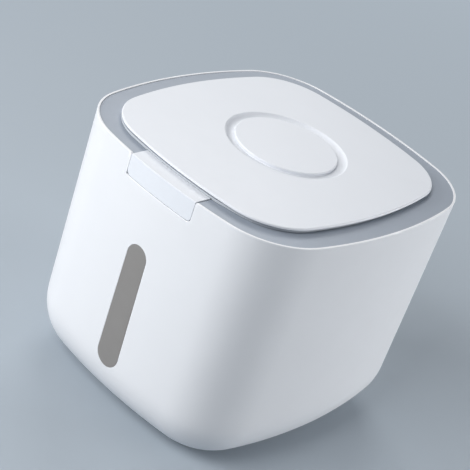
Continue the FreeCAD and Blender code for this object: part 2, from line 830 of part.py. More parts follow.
def make_top_frame():
    """The grey ring inside the rim: band, skirt, mouth collar, latch pocket and hinge trough."""
    body = new_body("top_frame")
    band = new_sketch(body, "band", "XY", "band_z")
    bowed_outline(band, RIM, "frame_inset")
    bowed_outline(band, MOUTH)
    pad(body, band, "band_thickness", flip=True)
    ring(body, "skirt", RIM, "frame_inset", "skirt_inset", "band_under_z",
         "band_under_z - skirt_foot_z")
    ring(body, "collar", MOUTH, "-collar_thickness", "0", "band_under_z",
         "collar_depth - band_thickness")
    ring(body, "snap_bead", RIM, "frame_inset - snap_depth", "frame_inset + weld_overlap",
         "rim_height - snap_drop", "snap_height")

    frame_latch_pocket(body)
    frame_hinge_trough(body)

    level = size("band_z")
    reach_x = size("mouth_half_width + collar_thickness / 2")
    reach_y = size("mouth_half_depth + collar_thickness / 2")

    def on_mouth(box):
        across = max(abs(box.XMin), abs(box.XMax)) < reach_x
        along = max(abs(box.YMin), abs(box.YMax)) < reach_y
        return near(box.ZMin, level) and near(box.ZMax, level) and across and along

    round_edges(body, "mouth_round", "mouth_edge_radius", on_mouth)
    return body


def make_frame_seal():
    """The flat soft ring on the bin's ledge, under the frame's skirt."""
    body = new_body("frame_seal")
    ring(body, "frame_seal_ring", RIM, "rim_lip + frame_seal_margin",
         "body_wall - frame_seal_margin", "skirt_foot_z", "frame_seal_height")
    return body


# ---------------------------------------------------------------- lid
def screw_places():
    """The six screw axes, three along each side of the lid."""
    rows = ("lid_centre_y - lid_screw_y", "lid_centre_y", "lid_centre_y + lid_screw_y")
    return [(side + "lid_screw_x", row) for side in ("-", "") for row in rows]


def screw_circles(sketch, radius):
    for across, along in screw_places():
        circle(sketch, across, along, radius)


def groove_section(sketch):
    """The section of the round groove: upright inner side, flat floor and hollow outer slope."""
    floor, high = "lid_top_z - groove_depth", "lid_top_z + overcut"
    corners = [
        ("disc_radius", high), ("disc_radius", floor), ("groove_floor_radius", floor),
        ("groove_outer_radius", "lid_top_z"), ("groove_outer_radius", high),
    ]
    spots = [Vector(size(across), size(up), 0) for across, up in corners]
    run = size("groove_outer_radius - groove_floor_radius")
    rise = size("groove_depth")
    bend = (run ** 2 + rise ** 2) / (2 * rise)
    quarter = math.pi / 2
    slope = arc(spots[2] + Vector(0, bend, 0), bend, -quarter, math.asin(run / bend) - quarter)
    for start, side in enumerate([None, None, slope, None, None]):
        end = (start + 1) % 5
        sketch.addGeometry(side or Part.LineSegment(spots[start], spots[end]))
    for i in range(5):
        kind = "Tangent" if i == 1 else "Coincident"
        sketch.addConstraint(Sketcher.Constraint(kind, i, END, (i + 1) % 5, START))
    for i, (across, up) in enumerate(corners):
        place_point(sketch, i, START, across, up)


def make_lid_panel():
    """The white outer lid with its round moulded groove, step and screw bosses."""
    body = new_body("lid_panel")
    top = new_sketch(body, "panel_outline", "XY", "lid_top_z")
    bowed_outline(top, LID)
    pad(body, top, "lid_edge", flip=True)
    round_edges(body, "panel_edge", "lid_edge_radius", level_at(size("lid_top_z")))
    step = new_sketch(body, "panel_step", "XY", "lid_edge_z")
    bowed_outline(step, LID, "lid_step")
    pad(body, step, "lid_edge_z - base_web_z", flip=True)

    section = new_sketch(body, "groove_section", "XZ", "groove_centre_y")
    groove_section(section)
    turn(body, section, "PartDesign::Groove")
    radius = size("disc_radius")
    outer = size("groove_outer_radius")
    level = size("lid_top_z")

    def is_circle(box, wanted):
        flat = near(box.ZMin, level) and near(box.ZMax, level)
        return flat and near(box.XMax, wanted, 0.2)

    round_edges(body, "groove_soft_edge", "groove_blend_radius", lambda b: is_circle(b, outer))
    round_edges(body, "disc_edge", "disc_edge_radius", lambda b: is_circle(b, radius))

    relief = new_sketch(body, "hinge_relief_space", "XY", "base_web_z")
    rectangle(relief, "-relief_half_width", "relief_half_width",
              "hinge_y - hinge_leg - hinge_leg_relief", "hinge_y + knuckle_radius")
    pocket(body, relief, "relief_top_z - base_web_z", flip=True)

    bosses = new_sketch(body, "panel_bosses", "XY", "base_web_z")
    screw_circles(bosses, "boss_radius")
    pad(body, bosses, "boss_length - boss_gap", flip=True)
    pilots = new_sketch(body, "panel_pilots", "XY", "boss_foot_z + boss_gap")
    screw_circles(pilots, "screw_radius + screw_gap")
    pocket(body, pilots, "screw_bite", flip=True)
    return body


def base_hinge(body):
    """The notch over the ears and the two knuckles that turn on the pins."""
    notch = new_sketch(body, "hinge_notch", "XY", "base_rim_z")
    rectangle(notch, "-relief_half_width", "relief_half_width", "hinge_front_y", "lid_rear_y")
    pocket(body, notch, "base_rim_z - base_under_z")
    inner = "knuckle_outer_x - knuckle_width"
    arm = new_sketch(body, "knuckle_arm", "YZ", inner)
    rectangle(arm, "hinge_front_y - weld_overlap", "hinge_y", "base_under_z", "base_rim_z")
    disc = new_sketch(body, "knuckle_disc", "YZ", inner)
    circle(disc, "hinge_y", "hinge_z", "knuckle_radius")
    made = [pad(body, arm, "knuckle_width"), pad(body, disc, "knuckle_width")]
    mirror(body, made, "knuckle_other_side")
    bores = new_sketch(body, "knuckle_bores", "YZ")
    circle(bores, "hinge_y", "hinge_z", "pin_radius + knuckle_fit")
    pocket(body, bores, "2 * knuckle_outer_x + pin_head_length", both=True)


def base_hook(body):
    """The hook that drops through the slider's window, and the room over the latch's top."""
    room = new_sketch(body, "latch_room", "XY", "base_under_z")
    half = "pocket_half_width + latch_gap"
    front = "-(lid_half_depth - lid_centre_y)"
    rectangle(room, f"-({half})", half, front, "-latch_cut_y")
    pocket(body, room, "rim_height + lid_float - base_under_z", flip=True)

    hook = new_sketch(body, "hook_profile", "YZ")
    back = "-(hook_front_y - hook_thickness)"
    polygon(hook, [
        ("-hook_front_y", "base_web_z"), ("-hook_front_y", "hook_tip_z"),
        (f"{back} - hook_thickness / 3", "hook_tip_z"),
        ("-barb_y", "hook_ledge_z - hook_nose / 4"), ("-barb_y", "hook_ledge_z"),
        (back, "hook_ledge_z"), (back, "base_web_z"),
    ])
    pad(body, hook, "2 * hook_half_width", both=True)


def make_lid_base():
    """The under-lid: stepped tray, plug wall with flange, screw cups, hinge and hook."""
    body = new_body("lid_base")
    plate = new_sketch(body, "base_outline", "XY", "base_rim_z")
    bowed_outline(plate, LID, "base_inset")
    pad(body, plate, "base_rim_z - base_under_z", flip=True)
    tray = new_sketch(body, "base_tray", "XY", "base_rim_z")
    bowed_outline(tray, LID, "lid_step - lid_step_gap")
    pocket(body, tray, "base_rim_z - base_web_z")
    ring(body, "plug_wall_ring", MOUTH, "plug_inset", "plug_inset + plug_wall",
         "base_under_z", "plug_depth")
    ring(body, "plug_flange_ring", MOUTH, "plug_inset - plug_flange_reach",
         "plug_inset + plug_wall / 2", "plug_foot_z + plug_flange", "plug_flange")
    base_hook(body)

    cups = new_sketch(body, "base_cups", "XY", "base_under_z")
    screw_circles(cups, "boss_radius + boss_gap + boss_wall")
    pad(body, cups, "base_under_z - boss_cup_z", flip=True)
    wells = new_sketch(body, "base_wells", "XY", "base_web_z")
    screw_circles(wells, "boss_radius + boss_gap")
    pocket(body, wells, "boss_length")
    holes = new_sketch(body, "base_screw_holes", "XY", "boss_foot_z")
    screw_circles(holes, "screw_radius + screw_hole_gap")
    pocket(body, holes, "boss_floor")
    base_hinge(body)
    return body


def make_chamber_ring():
    """The drying chamber's wall: a flanged ring welded to the under-lid, with lugs and stops."""
    body = new_body("chamber_ring")
    wall = new_sketch(body, "chamber_wall_ring", "XY", "base_under_z", centre="groove_centre_y")
    circle(wall, "0", "0", "chamber_outer_radius")
    circle(wall, "0", "0", "chamber_radius")
    pad(body, wall, "chamber_depth", flip=True)
    flange = new_sketch(body, "chamber_weld_ring", "XY", "base_under_z", centre="groove_centre_y")
    circle(flange, "0", "0", "chamber_outer_radius + chamber_flange_reach")
    circle(flange, "0", "0", "chamber_outer_radius - chamber_wall / 2")
    pad(body, flange, "chamber_flange", flip=True)
    lug = new_sketch(body, "chamber_lug", "XY", "lug_top_z", centre="groove_centre_y")
    rectangle(lug, "chamber_outer_radius - chamber_wall / 2", "chamber_outer_radius + lug_reach",
              "-lug_width / 2", "lug_width / 2")
    polar(body, [pad(body, lug, "lug_height", flip=True)], "chamber_lugs", "3", wall)
    stop = new_sketch(body, "cap_stop", "XY", "base_under_z", centre="groove_centre_y")
    near_side = "-(lug_width / 2 + lug_gap)"
    rectangle(stop, "chamber_outer_radius - chamber_wall / 2",
              "chamber_outer_radius + cap_stop_reach", f"{near_side} - cap_stop_width", near_side)
    rib = pad(body, stop, "base_under_z - lug_top_z", flip=True)
    polar(body, [rib], "cap_stops", "6", wall)
    return body


def make_lid_seal():
    """The silicone ring round the plug wall, with two thin lips that meet the collar."""
    body = new_body("lid_seal")
    top = "base_under_z - seal_clearance"
    foot = "plug_foot_z + plug_flange + seal_clearance"
    ring(body, "seal_web_ring", MOUTH, "plug_inset - seal_web", "plug_inset - seal_fit", top,
         f"{top} - ({foot})")
    for number, share in enumerate(("1 / 6", "4 / 6")):
        level = f"{top} - ({top} - ({foot})) * {share}"
        ring(body, f"seal_lip_ring_{number}", MOUTH, "seal_gap", "plug_inset - seal_web / 2",
             level, "seal_lip")
    return body


def make_lid_screws():
    """Six pan-head screws, driven up through the under-lid into the panel's bosses."""
    screws = []
    for number, (across, along) in enumerate(screw_places()):
        head = doc.addObject("Part::Cylinder", f"screw_head_{number}")
        head.setExpression("Radius", formula("screw_head_radius"))
        head.setExpression("Height", formula("screw_head_height"))
        shank = doc.addObject("Part::Cylinder", f"screw_shank_{number}")
        shank.setExpression("Radius", formula("screw_radius"))
        length = "boss_floor + boss_gap + screw_bite - screw_hole_gap"
        shank.setExpression("Height", formula(f"screw_head_height / 2 + {length}"))
        slot = doc.addObject("Part::Box", f"screw_slot_{number}")
        slot.setExpression("Length", formula("2 * screw_head_radius"))
        slot.setExpression("Width", formula("screw_slot_width"))
        slot.setExpression("Height", formula("screw_slot_depth"))
        for piece, x, y, z in [
            (head, across, along, "boss_cup_z - screw_head_height"),
            (shank, across, along, "boss_cup_z - screw_head_height / 2"),
            (slot, f"{across} - screw_head_radius", f"{along} - screw_slot_width / 2",
             "boss_cup_z - screw_head_height"),
        ]:
            piece.setExpression("Placement.Base.x", formula(x))
            piece.setExpression("Placement.Base.y", formula(y))
            piece.setExpression("Placement.Base.z", formula(z))
        solid = combine("Fuse", f"screw_blank_{number}", head, shank)
        screws.append(combine("Cut", f"screw_{number}", solid, slot))
    group = doc.addObject("Part::Compound", "lid_screws")
    group.Label = "lid_screws"
    group.Links = screws
    return group


def make_vent_cap():
    """The slotted quarter-turn cap of the drying chamber, with a finger bar."""
    body = new_body("vent_cap")
    outer = "cap_inner_radius + cap_wall"
    top = "cap_face_z + cap_skirt_height"
    profile = new_sketch(body, "cap_profile", "XZ", "groove_centre_y")
    polygon(profile, [
        ("0", "cap_outer_z"), (f"{outer} - cap_wall / 2", "cap_outer_z"),
        (outer, "cap_outer_z + cap_wall / 2"), (outer, top), ("cap_inner_radius", top),
        ("cap_inner_radius", "cap_face_z"), ("0", "cap_face_z"),
    ])
    turn(body, profile)
    lug = new_sketch(body, "cap_lug", "XY", "cap_lug_z", centre="groove_centre_y")
    rectangle(lug, "cap_inner_radius - lug_reach", "cap_inner_radius + cap_wall / 2",
              "-lug_width / 2", "lug_width / 2")
    polar(body, [pad(body, lug, "lug_height")], "cap_lugs", "3", lug)
    vent = new_sketch(body, "vent_slot", "XY", "cap_face_z", centre="groove_centre_y")
    rectangle(vent, "vent_inner_radius", "vent_outer_radius", "-vent_width / 2", "vent_width / 2")
    polar(body, [pocket(body, vent, "cap_wall")], "vents", "vent_count", vent)
    grip = new_sketch(body, "grip_bar", "XY", "cap_outer_z", centre="groove_centre_y")
    rectangle(grip, "-grip_half_length", "grip_half_length", "-grip_half_width", "grip_half_width")
    pad(body, grip, "grip_height", flip=True)
    return body


# ---------------------------------------------------------------- hinge pins and springs
def lay_along_x(body, shift):
    """Turn a body that was drawn upright so that it lies on the hinge line."""
    body.Placement = FreeCAD.Placement(Vector(), FreeCAD.Rotation(Vector(0, 1, 0), 90))
    body.setExpression("Placement.Base.x", formula(shift))
    body.setExpression("Placement.Base.y", formula("hinge_y"))
    body.setExpression("Placement.Base.z", formula("hinge_z"))


def make_hinge_pin(label, side):
    """One headed steel pin through an outer ear, a knuckle and an inner ear."""
    body = new_body(label)
    start = "ear_inner_x - ear_thickness"
    sign = "" if side > 0 else "-"
    profile = new_sketch(body, label + "_profile", "XZ")
    polygon(profile, [
        ("0", f"{sign}({start})"), ("pin_radius - pin_chamfer", f"{sign}({start})"),
        ("pin_radius", f"{sign}({start} + pin_chamfer)"), ("pin_radius", sign + "ear_outer_x"),
        ("pin_head_radius", sign + "ear_outer_x"),
        ("pin_head_radius", f"{sign}(ear_outer_x + pin_head_length)"),
        ("0", f"{sign}(ear_outer_x + pin_head_length)"),
    ])
    turn(body, profile)
    lay_along_x(body, "0")
    return body


def coil(body, name, radius, wire, start, pitch, turns):
    """A right-handed round-wire coil about the body's upright axis, from its +X side."""
    section = new_sketch(body, name, "XZ")
    circle(section, radius, start, wire)
    helix = body.newObject("PartDesign::AdditiveHelix", name + "_coil")
    helix.Profile = section
    helix.ReferenceAxis = (section, ["V_Axis"])
    helix.Mode = "pitch-turns-angle"
    helix.setExpression("Pitch", formula(pitch))
    helix.setExpression("Turns", formula(turns))
    section.Visibility = False
    return finish_feature(body, helix, 0.0, True)


def make_torsion_spring(label, shift):
    """A torsion spring on its pin: one leg lies in the frame's slot, one lifts the lid."""
    body = new_body(label)
    coil(body, label + "_wire", "hinge_coil_radius", "hinge_wire", "hinge_coil_start_x",
         "hinge_coil_pitch", "hinge_coil_turns")
    for name, across, along in [
        ("frame_leg", "hinge_coil_radius", "hinge_coil_start_x"),
        ("lid_leg", "-hinge_coil_radius", "hinge_coil_end_x"),
    ]:
        leg = new_sketch(body, f"{label}_{name}", "XZ", "0")
        circle(leg, across, along, "hinge_wire")
        pad(body, leg, "hinge_leg")
    lay_along_x(body, shift)
    return body


def make_latch_spring(label, side):
    """One compression spring between the latch's skirt and the pocket wall."""
    body = new_body(label)
    length = "latch_spring_front_y - latch_spring_rear_y - 2 * latch_spring_wire"
    coil(body, label + "_wire", "latch_spring_radius", "latch_spring_wire", "latch_spring_wire",
         f"({length}) / latch_spring_turns", "latch_spring_turns")
    body.Placement = FreeCAD.Placement(Vector(), FreeCAD.Rotation(Vector(1, 0, 0), -90))
    body.setExpression("Placement.Base.x", formula(f"{side} * latch_spring_x"))
    body.setExpression("Placement.Base.y", formula("-latch_spring_front_y"))
    body.setExpression("Placement.Base.z", formula("latch_spring_z"))
    return body


# ---------------------------------------------------------------- press latch
def front_strip(sketch, half_width, inset, rear):
    """The outline between the front bow, moved in by inset, and a line or a second bow behind it."""
    radius = size(f"side_bow_radius - ({inset})")
    middle_y = size("side_bow_radius - rim_half_depth")
    half = size(half_width)
    lean = math.asin(half / radius)
    middle = Vector(0, middle_y, 0)
    front = sketch.addGeometry(arc(middle, radius, 1.5 * math.pi - lean, 1.5 * math.pi + lean))
    place_point(sketch, front, CENTRE, "0", "side_bow_radius - rim_half_depth")
    fix(sketch, "Radius", front, to=f"side_bow_radius - ({inset})")
    left = sketch.Geometry[front].StartPoint
    right = sketch.Geometry[front].EndPoint
    behind_left = Vector(-half, size(rear), 0)
    behind_right = Vector(half, size(rear), 0)
    first = sketch.GeometryCount
    sketch.addGeometry(Part.LineSegment(right, behind_right))
    sketch.addGeometry(Part.LineSegment(behind_right, behind_left))
    sketch.addGeometry(Part.LineSegment(behind_left, left))
    chain = [front, first, first + 1, first + 2]
    for i in range(4):
        joint = ("Coincident", chain[i], END, chain[(i + 1) % 4], START)
        sketch.addConstraint(Sketcher.Constraint(*joint))
    place_point(sketch, first + 1, START, half_width, rear)
    place_point(sketch, first + 1, END, f"-({half_width})", rear)
    sketch.addConstraint(Sketcher.Constraint("Vertical", first))
    sketch.addConstraint(Sketcher.Constraint("Vertical", first + 2))


def make_latch_button():
    """The L-shaped cap, its slider with a window for the hook, guide ears and spring spigots."""
    body = new_body("latch_button")
    block = new_sketch(body, "latch_cap", "XY", "rim_height")
    front_strip(block, "latch_half_width", "0", "-latch_top_rear_y")
    pad(body, block, "latch_height", flip=True)

    hollow = new_sketch(body, "latch_hollow", "XY", "rim_height - latch_top")
    front_strip(hollow, "latch_half_width - latch_side_wall", "latch_skin",
                "-latch_top_rear_y + overcut")
    pocket(body, hollow, "latch_height")

    skirt_back = "-(rim_half_depth - latch_skin)"
    cut_off = new_sketch(body, "latch_side_cut", "YZ")
    polygon(cut_off, [
        (f"{skirt_back} + latch_bow_room * 3", "rim_height - latch_height"),
        ("-latch_top_rear_y + overcut", "rim_height - latch_height"),
        ("-latch_top_rear_y + overcut", "rim_height - latch_top"),
        (f"{skirt_back} + latch_side_run", "rim_height - latch_top"),
        (f"{skirt_back} + latch_side_run", "slider_under_z"),
    ])
    pocket(body, cut_off, "4 * latch_half_width", both=True)

    web = new_sketch(body, "latch_drop_web", "XY", "rim_height - latch_top")
    rectangle(web, "-slider_half_width", "slider_half_width",
              "-latch_web_rear_y - latch_web", "-latch_web_rear_y")
    pad(body, web, "rim_height - latch_top - slider_under_z", flip=True)
    plate = new_sketch(body, "slider_plate", "XY", "slider_top_z")
    wide = "slider_half_width + slider_ear_reach"
    polygon(plate, [
        ("-slider_half_width", "-latch_web_rear_y - latch_web / 2"),
        ("slider_half_width", "-latch_web_rear_y - latch_web / 2"),
        ("slider_half_width", "-slider_ear_front_y"), (wide, "-slider_ear_front_y"),
        (wide, "-slider_ear_rear_y"), ("slider_half_width", "-slider_rear_y"),
        ("-slider_half_width", "-slider_rear_y"), (f"-({wide})", "-slider_ear_rear_y"),
        (f"-({wide})", "-slider_ear_front_y"), ("-slider_half_width", "-slider_ear_front_y"),
    ])
    pad(body, plate, "slider_thickness", flip=True)
    window = new_sketch(body, "hook_window", "XY", "slider_top_z")
    half = "hook_half_width + hook_side_gap"
    rectangle(window, f"-({half})", half, "-latch_web_rear_y", "-bar_front_y")
    pocket(body, window, "slider_thickness")

    spigots = new_sketch(body, "latch_spigots", "XZ", f"{skirt_back} + latch_bow_room + spigot_length")
    for side in ("-", ""):
        circle(spigots, side + "latch_spring_x", "latch_spring_z", "spigot_radius")
    pad(body, spigots, "latch_bow_room + spigot_length + latch_skin / 2")

    top = size("rim_height")
    front = -size("rim_half_depth")
    sag = size("latch_bow_room") * 3

    def on_fold(box):
        flat = near(box.ZMin, top) and near(box.ZMax, top)
        return flat and box.YMin < front + 0.1 and box.YMax < front + sag

    round_edges(body, "latch_fold", "latch_edge_radius", on_fold)
    return body


# ---------------------------------------------------------------- feet
def make_foot(label, side_x, side_y):
    """One round rubber pad, glued in its recess."""
    body = new_body(label)
    profile = new_sketch(body, label + "_profile", "XZ")
    top = "foot_height + foot_recess"
    polygon(profile, [
        ("0", "0"), ("foot_radius - foot_height", "0"), ("foot_radius", "foot_height * 0.8"),
        ("foot_radius", top), ("0", top),
    ])
    turn(body, profile)
    body.setExpression("Placement.Base.x", formula(f"{side_x} * foot_spread_x"))
    body.setExpression("Placement.Base.y", formula(f"{side_y} * foot_spread_y"))
    return body


# ---------------------------------------------------------------- the whole keeper
def build():
    fill_sheet()
    bin_body = make_bin_body()
    add_window_stakes(bin_body)
    parts = [
        bin_body,
        make_window_lens(),
        make_window_gasket(),
        make_top_frame(),
        make_frame_seal(),
        make_lid_panel(),
        make_lid_base(),
        make_chamber_ring(),
        make_lid_seal(),
        make_lid_screws(),
        make_vent_cap(),
        make_hinge_pin("hinge_pin_left", -1),
        make_hinge_pin("hinge_pin_right", 1),
        make_torsion_spring("torsion_spring_left", "-(hinge_coil_start_x + hinge_coil_end_x)"),
        make_torsion_spring("torsion_spring_right", "0"),
        make_latch_button(),
        make_latch_spring("latch_spring_left", -1),
        make_latch_spring("latch_spring_right", 1),
    ]
    for end, side_y in (("front", -1), ("rear", 1)):
        for side, side_x in (("left", -1), ("right", 1)):
            parts.append(make_foot(f"foot_{end}_{side}", side_x, side_y))
    return parts


def check(parts):
    """Stop if any object failed or any piece isn't sound."""
    doc.recompute()
    for thing in doc.Objects:
        if "Invalid" in thing.State or "Error" in thing.State:
            raise RuntimeError(f"{thing.Label} is in state {thing.State}")
    for part in parts:
        if part.Shape.isNull() or not part.Shape.isValid():
            raise RuntimeError(f"{part.Label} has no sound shape")


def write(parts):
    os.makedirs("parts", exist_ok=True)
    for part in parts:
        part.Shape.exportStep(f"parts/{part.Label}.step")
        print(f"{part.Label}: {len(part.Shape.Solids)} solids, {part.Shape.Volume / 1000:.2f} cm3")


pieces = build()
check(pieces)
write(pieces)
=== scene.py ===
"""Rice keeper: the dressed model of an upright bin with a sprung lid and a press latch.

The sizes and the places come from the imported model, in metres, with +Z up and the
latch at the front (-Y).  Run as a script it builds the whole keeper on its stage.
"""
import json
import math

import bmesh
import bpy
from mathutils import Matrix, Vector

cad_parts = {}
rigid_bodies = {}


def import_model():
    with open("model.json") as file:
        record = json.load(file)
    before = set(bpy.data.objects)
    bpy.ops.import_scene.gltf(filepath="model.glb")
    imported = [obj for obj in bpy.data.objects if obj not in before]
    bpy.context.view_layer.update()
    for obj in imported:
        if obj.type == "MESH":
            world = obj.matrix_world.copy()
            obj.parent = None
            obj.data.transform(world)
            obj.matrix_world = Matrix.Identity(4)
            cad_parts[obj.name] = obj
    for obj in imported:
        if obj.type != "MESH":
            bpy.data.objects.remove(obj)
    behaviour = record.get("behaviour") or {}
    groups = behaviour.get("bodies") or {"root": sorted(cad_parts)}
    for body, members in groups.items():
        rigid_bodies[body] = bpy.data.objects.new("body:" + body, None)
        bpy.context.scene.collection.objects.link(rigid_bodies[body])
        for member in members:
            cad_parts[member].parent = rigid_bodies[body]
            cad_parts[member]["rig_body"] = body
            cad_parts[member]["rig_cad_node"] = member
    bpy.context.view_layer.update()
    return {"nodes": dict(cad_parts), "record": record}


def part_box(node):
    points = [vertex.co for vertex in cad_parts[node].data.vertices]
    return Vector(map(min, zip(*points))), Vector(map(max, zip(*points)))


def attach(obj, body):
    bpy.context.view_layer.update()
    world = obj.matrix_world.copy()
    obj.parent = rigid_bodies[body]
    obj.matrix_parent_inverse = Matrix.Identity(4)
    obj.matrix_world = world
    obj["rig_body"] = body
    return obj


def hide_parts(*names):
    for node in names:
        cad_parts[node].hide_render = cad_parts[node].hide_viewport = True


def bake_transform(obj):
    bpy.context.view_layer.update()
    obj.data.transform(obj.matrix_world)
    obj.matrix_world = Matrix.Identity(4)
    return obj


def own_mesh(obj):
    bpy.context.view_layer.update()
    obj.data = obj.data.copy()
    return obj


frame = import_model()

bl_info = {
    "name": "Rice Keeper",
    "version": (1, 0, 0),
    "blender": (4, 5, 0),
    "location": "View3D > Sidebar > Rice Keeper",
    "description": "Builds a rice keeper with a sprung lid, a press latch and a level window",
    "category": "Object",
}

NODES = frame["nodes"]
LOW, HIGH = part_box("bin_body")
LID_LOW, LID_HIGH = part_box("lid_panel")
LID_MIDDLE = (LID_LOW.y + LID_HIGH.y) / 2
PIN_LOW, PIN_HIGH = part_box("hinge_pin_right")
HINGE_Y = (PIN_LOW.y + PIN_HIGH.y) / 2

FEET = ("foot_front_left", "foot_front_right", "foot_rear_left", "foot_rear_right")
FOOT_RECESS = 0.0091        # radius of the recess round a foot
WINDOW_TOP = 0.0613         # the window's ends, below the rim
WINDOW_BOTTOM = 0.1767
WINDOW_GAP = 0.00012        # between the window and its slot
WINDOW_PLUG = 0.0045        # depth of the plug that fills the slot
STAKE_PITCH = 0.036         # between two of the stakes that hold the window
RIM_ROW = 0.0008            # from the rim's round down to the last row of faces
SNAP_DROP = 0.01375         # the groove that the frame snaps into, below the rim
SNAP_HEIGHT = 0.0021
SNAP_DEPTH = 0.0006
FRAME_DROP = 0.0006         # the frame's top below the rim
NOTCH_BACK = -0.1186        # where the latch's notch ends in the rim
TROUGH = 0.0325             # half the width of the hinge's trough
TROUGH_FRONT = 0.0045       # from the hinge's axis forward to the trough's front
LID_WEB = 0.0013            # the lid's underside above the rim
SCREW_SIDE = 0.0397         # from the lid's edges in to the screws
SCREW_END = 0.0483
FAR = 0.15                  # beyond the keeper on every side, for cutting
SHARP = math.radians(32)    # only edges sharper than this are rounded
SMOOTH = math.radians(30)   # edges sharper than this stay crisp in the shading
SLIVER = 2e-6               # faces and gaps smaller than this are cleared away


# ---------------------------------------------------------------- what a user would change
def length(name, description, default):
    """A length property, in metres."""
    return bpy.props.FloatProperty(name=name, description=description, default=default,
                                   min=0.0, max=1.0, precision=5, unit="LENGTH")


def tone(name, description, default):
    """A colour property."""
    return bpy.props.FloatVectorProperty(name=name, description=description, default=default,
                                         size=3, min=0.0, max=1.0, subtype="COLOR")


def power(name, description, default):
    """The power of a lamp, in watts."""
    return bpy.props.FloatProperty(name=name, description=description, default=default,
                                   min=0.0, soft_max=200.0, unit="POWER")


class KeeperBin(bpy.types.PropertyGroup):
    """Sizes of the bin's moulding."""

    half_width: length("Half width", "Half of the bin's width at its rim", HIGH.x)
    half_depth: length("Half depth", "Half of the bin's depth at its rim", HIGH.y)
    rim: length("Rim height", "Height of the rim above the ground", HIGH.z)
    bow: length("Side bow", "Radius of the bowed sides", 0.423)
    corner: length("Corner", "Radius of the upright corners at the rim", 0.062)
    bottom_round: length("Bottom edge", "Radius of the round edge under the bin", 0.0495)
    wall: length("Wall", "Thickness of the wall", 0.0034)
    lip: length("Rim lip", "Thickness of the thin lip outside the frame", 0.0019)
    ledge: length("Ledge depth", "How far below the rim the frame's ledge lies", 0.022)
    rim_round: length("Rim edge", "Radius of the rim's edges", 0.0004)
    cut_round: length("Cut edges", "Radius of the notch's and the slot's edges", 0.00045)
    seam: length("Latch seam", "Gap to the left of the latch", 0.0003)
    under_seam: length("Lower seam", "Gap under the latch", 0.0006)
    tight_seam: length("Tight seam", "Gap to the right of the latch", 0.00005)
    notch_round: length("Notch edges", "Radius of the notch's outer edges", 0.0006)
    flare: length("Notch corners", "Radius where the notch runs out into the rim", 0.0020)
    window_radius: length("Window ends", "Radius of the window slot's round ends", 0.01155)
    window_taper: length("Window taper", "How much narrower the window is at its top", 0.0011)
    draft: bpy.props.FloatProperty(
        name="Draft", description="Lean of the walls, from the mould",
        default=math.radians(0.48), min=0.0, max=0.2, precision=5, unit="ROTATION")


class KeeperLid(bpy.types.PropertyGroup):
    """Sizes of the lid's moulding."""

    half_width: length("Half width", "Half of the lid's width", LID_HIGH.x)
    half_depth: length("Half depth", "Half of the lid's depth", LID_HIGH.y - LID_MIDDLE)
    bow: length("Side bow", "Radius of the bowed sides", 0.399)
    corner: length("Corner", "Radius of the corners", 0.0515)
    edge: length("Edge", "Height of the thin outer edge", 0.0019)
    edge_round: length("Edge round", "Radius of the upper edge", 0.0011)
    step: length("Step", "How far the edge overhangs", 0.0038)
    rim_inset: length("Rim inset", "How far the under-lid's rim lies inside the edge", 0.0005)
    rim_setback: length("Rim setback", "How much further in the rim lies at the right", 0.0020)
    rim_top: length("Rim height", "Height of the under-lid's rim above the bin's rim", 0.0015)
    disc: length("Disc", "Radius of the flat disc in the middle", 0.0435)
    groove: length("Groove", "Outer radius of the round groove", 0.0516)
    groove_depth: length("Groove depth", "Depth of the round groove", 0.0030)
    groove_slope: length("Groove slope", "Width of the groove's hollow slope", 0.0062)
    boss: length("Screw boss", "Radius of the bosses under the lid", 0.0036)
    boss_drop: length("Boss length", "How far the bosses reach down", 0.00445)
    bore: length("Screw hole", "Radius of the holes in the bosses", 0.0013)


class KeeperCap(bpy.types.PropertyGroup):
    """Sizes of the drying chamber's cap."""

    wall: length("Wall", "Thickness of the cap's face and skirt", 0.0016)
    edge_round: length("Edge", "Radius of the outer edge", 0.0012)
    vents: bpy.props.IntProperty(name="Vents", description="Number of slots in the face",
                                 default=16, min=3, max=48)
    vent_width: length("Vent width", "Width of a slot", 0.0022)
    vent_start: length("Vent start", "Distance from the middle to a slot", 0.015)
    vent_end: length("Vent end", "Distance from the middle to a slot's far end", 0.031)
    bar_height: length("Finger bar", "Height of the finger bar", 0.0040)
    bar_reach: length("Bar length", "Half of the finger bar's length", 0.013)
    bar_half: length("Bar width", "Half of the finger bar's width", 0.0022)
    bar_round: length("Bar edges", "Radius of the finger bar's edges", 0.0013)


class KeeperLatch(bpy.types.PropertyGroup):
    """Sizes of the press latch."""

    skin: length("Skin", "Thickness of the latch's front", 0.0023)
    top: length("Top", "Thickness of the latch's top", 0.0021)
    fold: length("Fold", "Radius of the fold between front and top", 0.0007)
    corner: length("Corner", "Radius of the lower right corner", 0.0034)
    left_corner: length("Left corner", "Radius of the lower left corner", 0.0046)
    edge_round: length("Edges", "Radius of the edges of the skin", 0.0003)
    reach: length("Reach", "How far the top reaches back from the front", 0.0178)


class KeeperSprings(bpy.types.PropertyGroup):
    """Sizes of the springs."""

    latch_coil: length("Latch coil", "Radius of the latch springs' coils", 0.0022)
    latch_wire: length("Latch wire", "Radius of the latch springs' wire", 0.00035)
    latch_turns: bpy.props.FloatProperty(name="Latch turns", description="Turns of a latch spring",
                                         default=6.0, min=1.0, max=20.0)
    hinge_coil: length("Hinge coil", "Radius of the hinge springs' coils", 0.00225)
    hinge_wire: length("Hinge wire", "Radius of the hinge springs' wire", 0.0004)
    hinge_turns: bpy.props.IntProperty(name="Hinge turns", description="Whole turns of a hinge "
                                       "spring, to which half a turn is added",
                                       default=7, min=1, max=20)
    leg: length("Leg", "Length of a hinge spring's legs", 0.009)


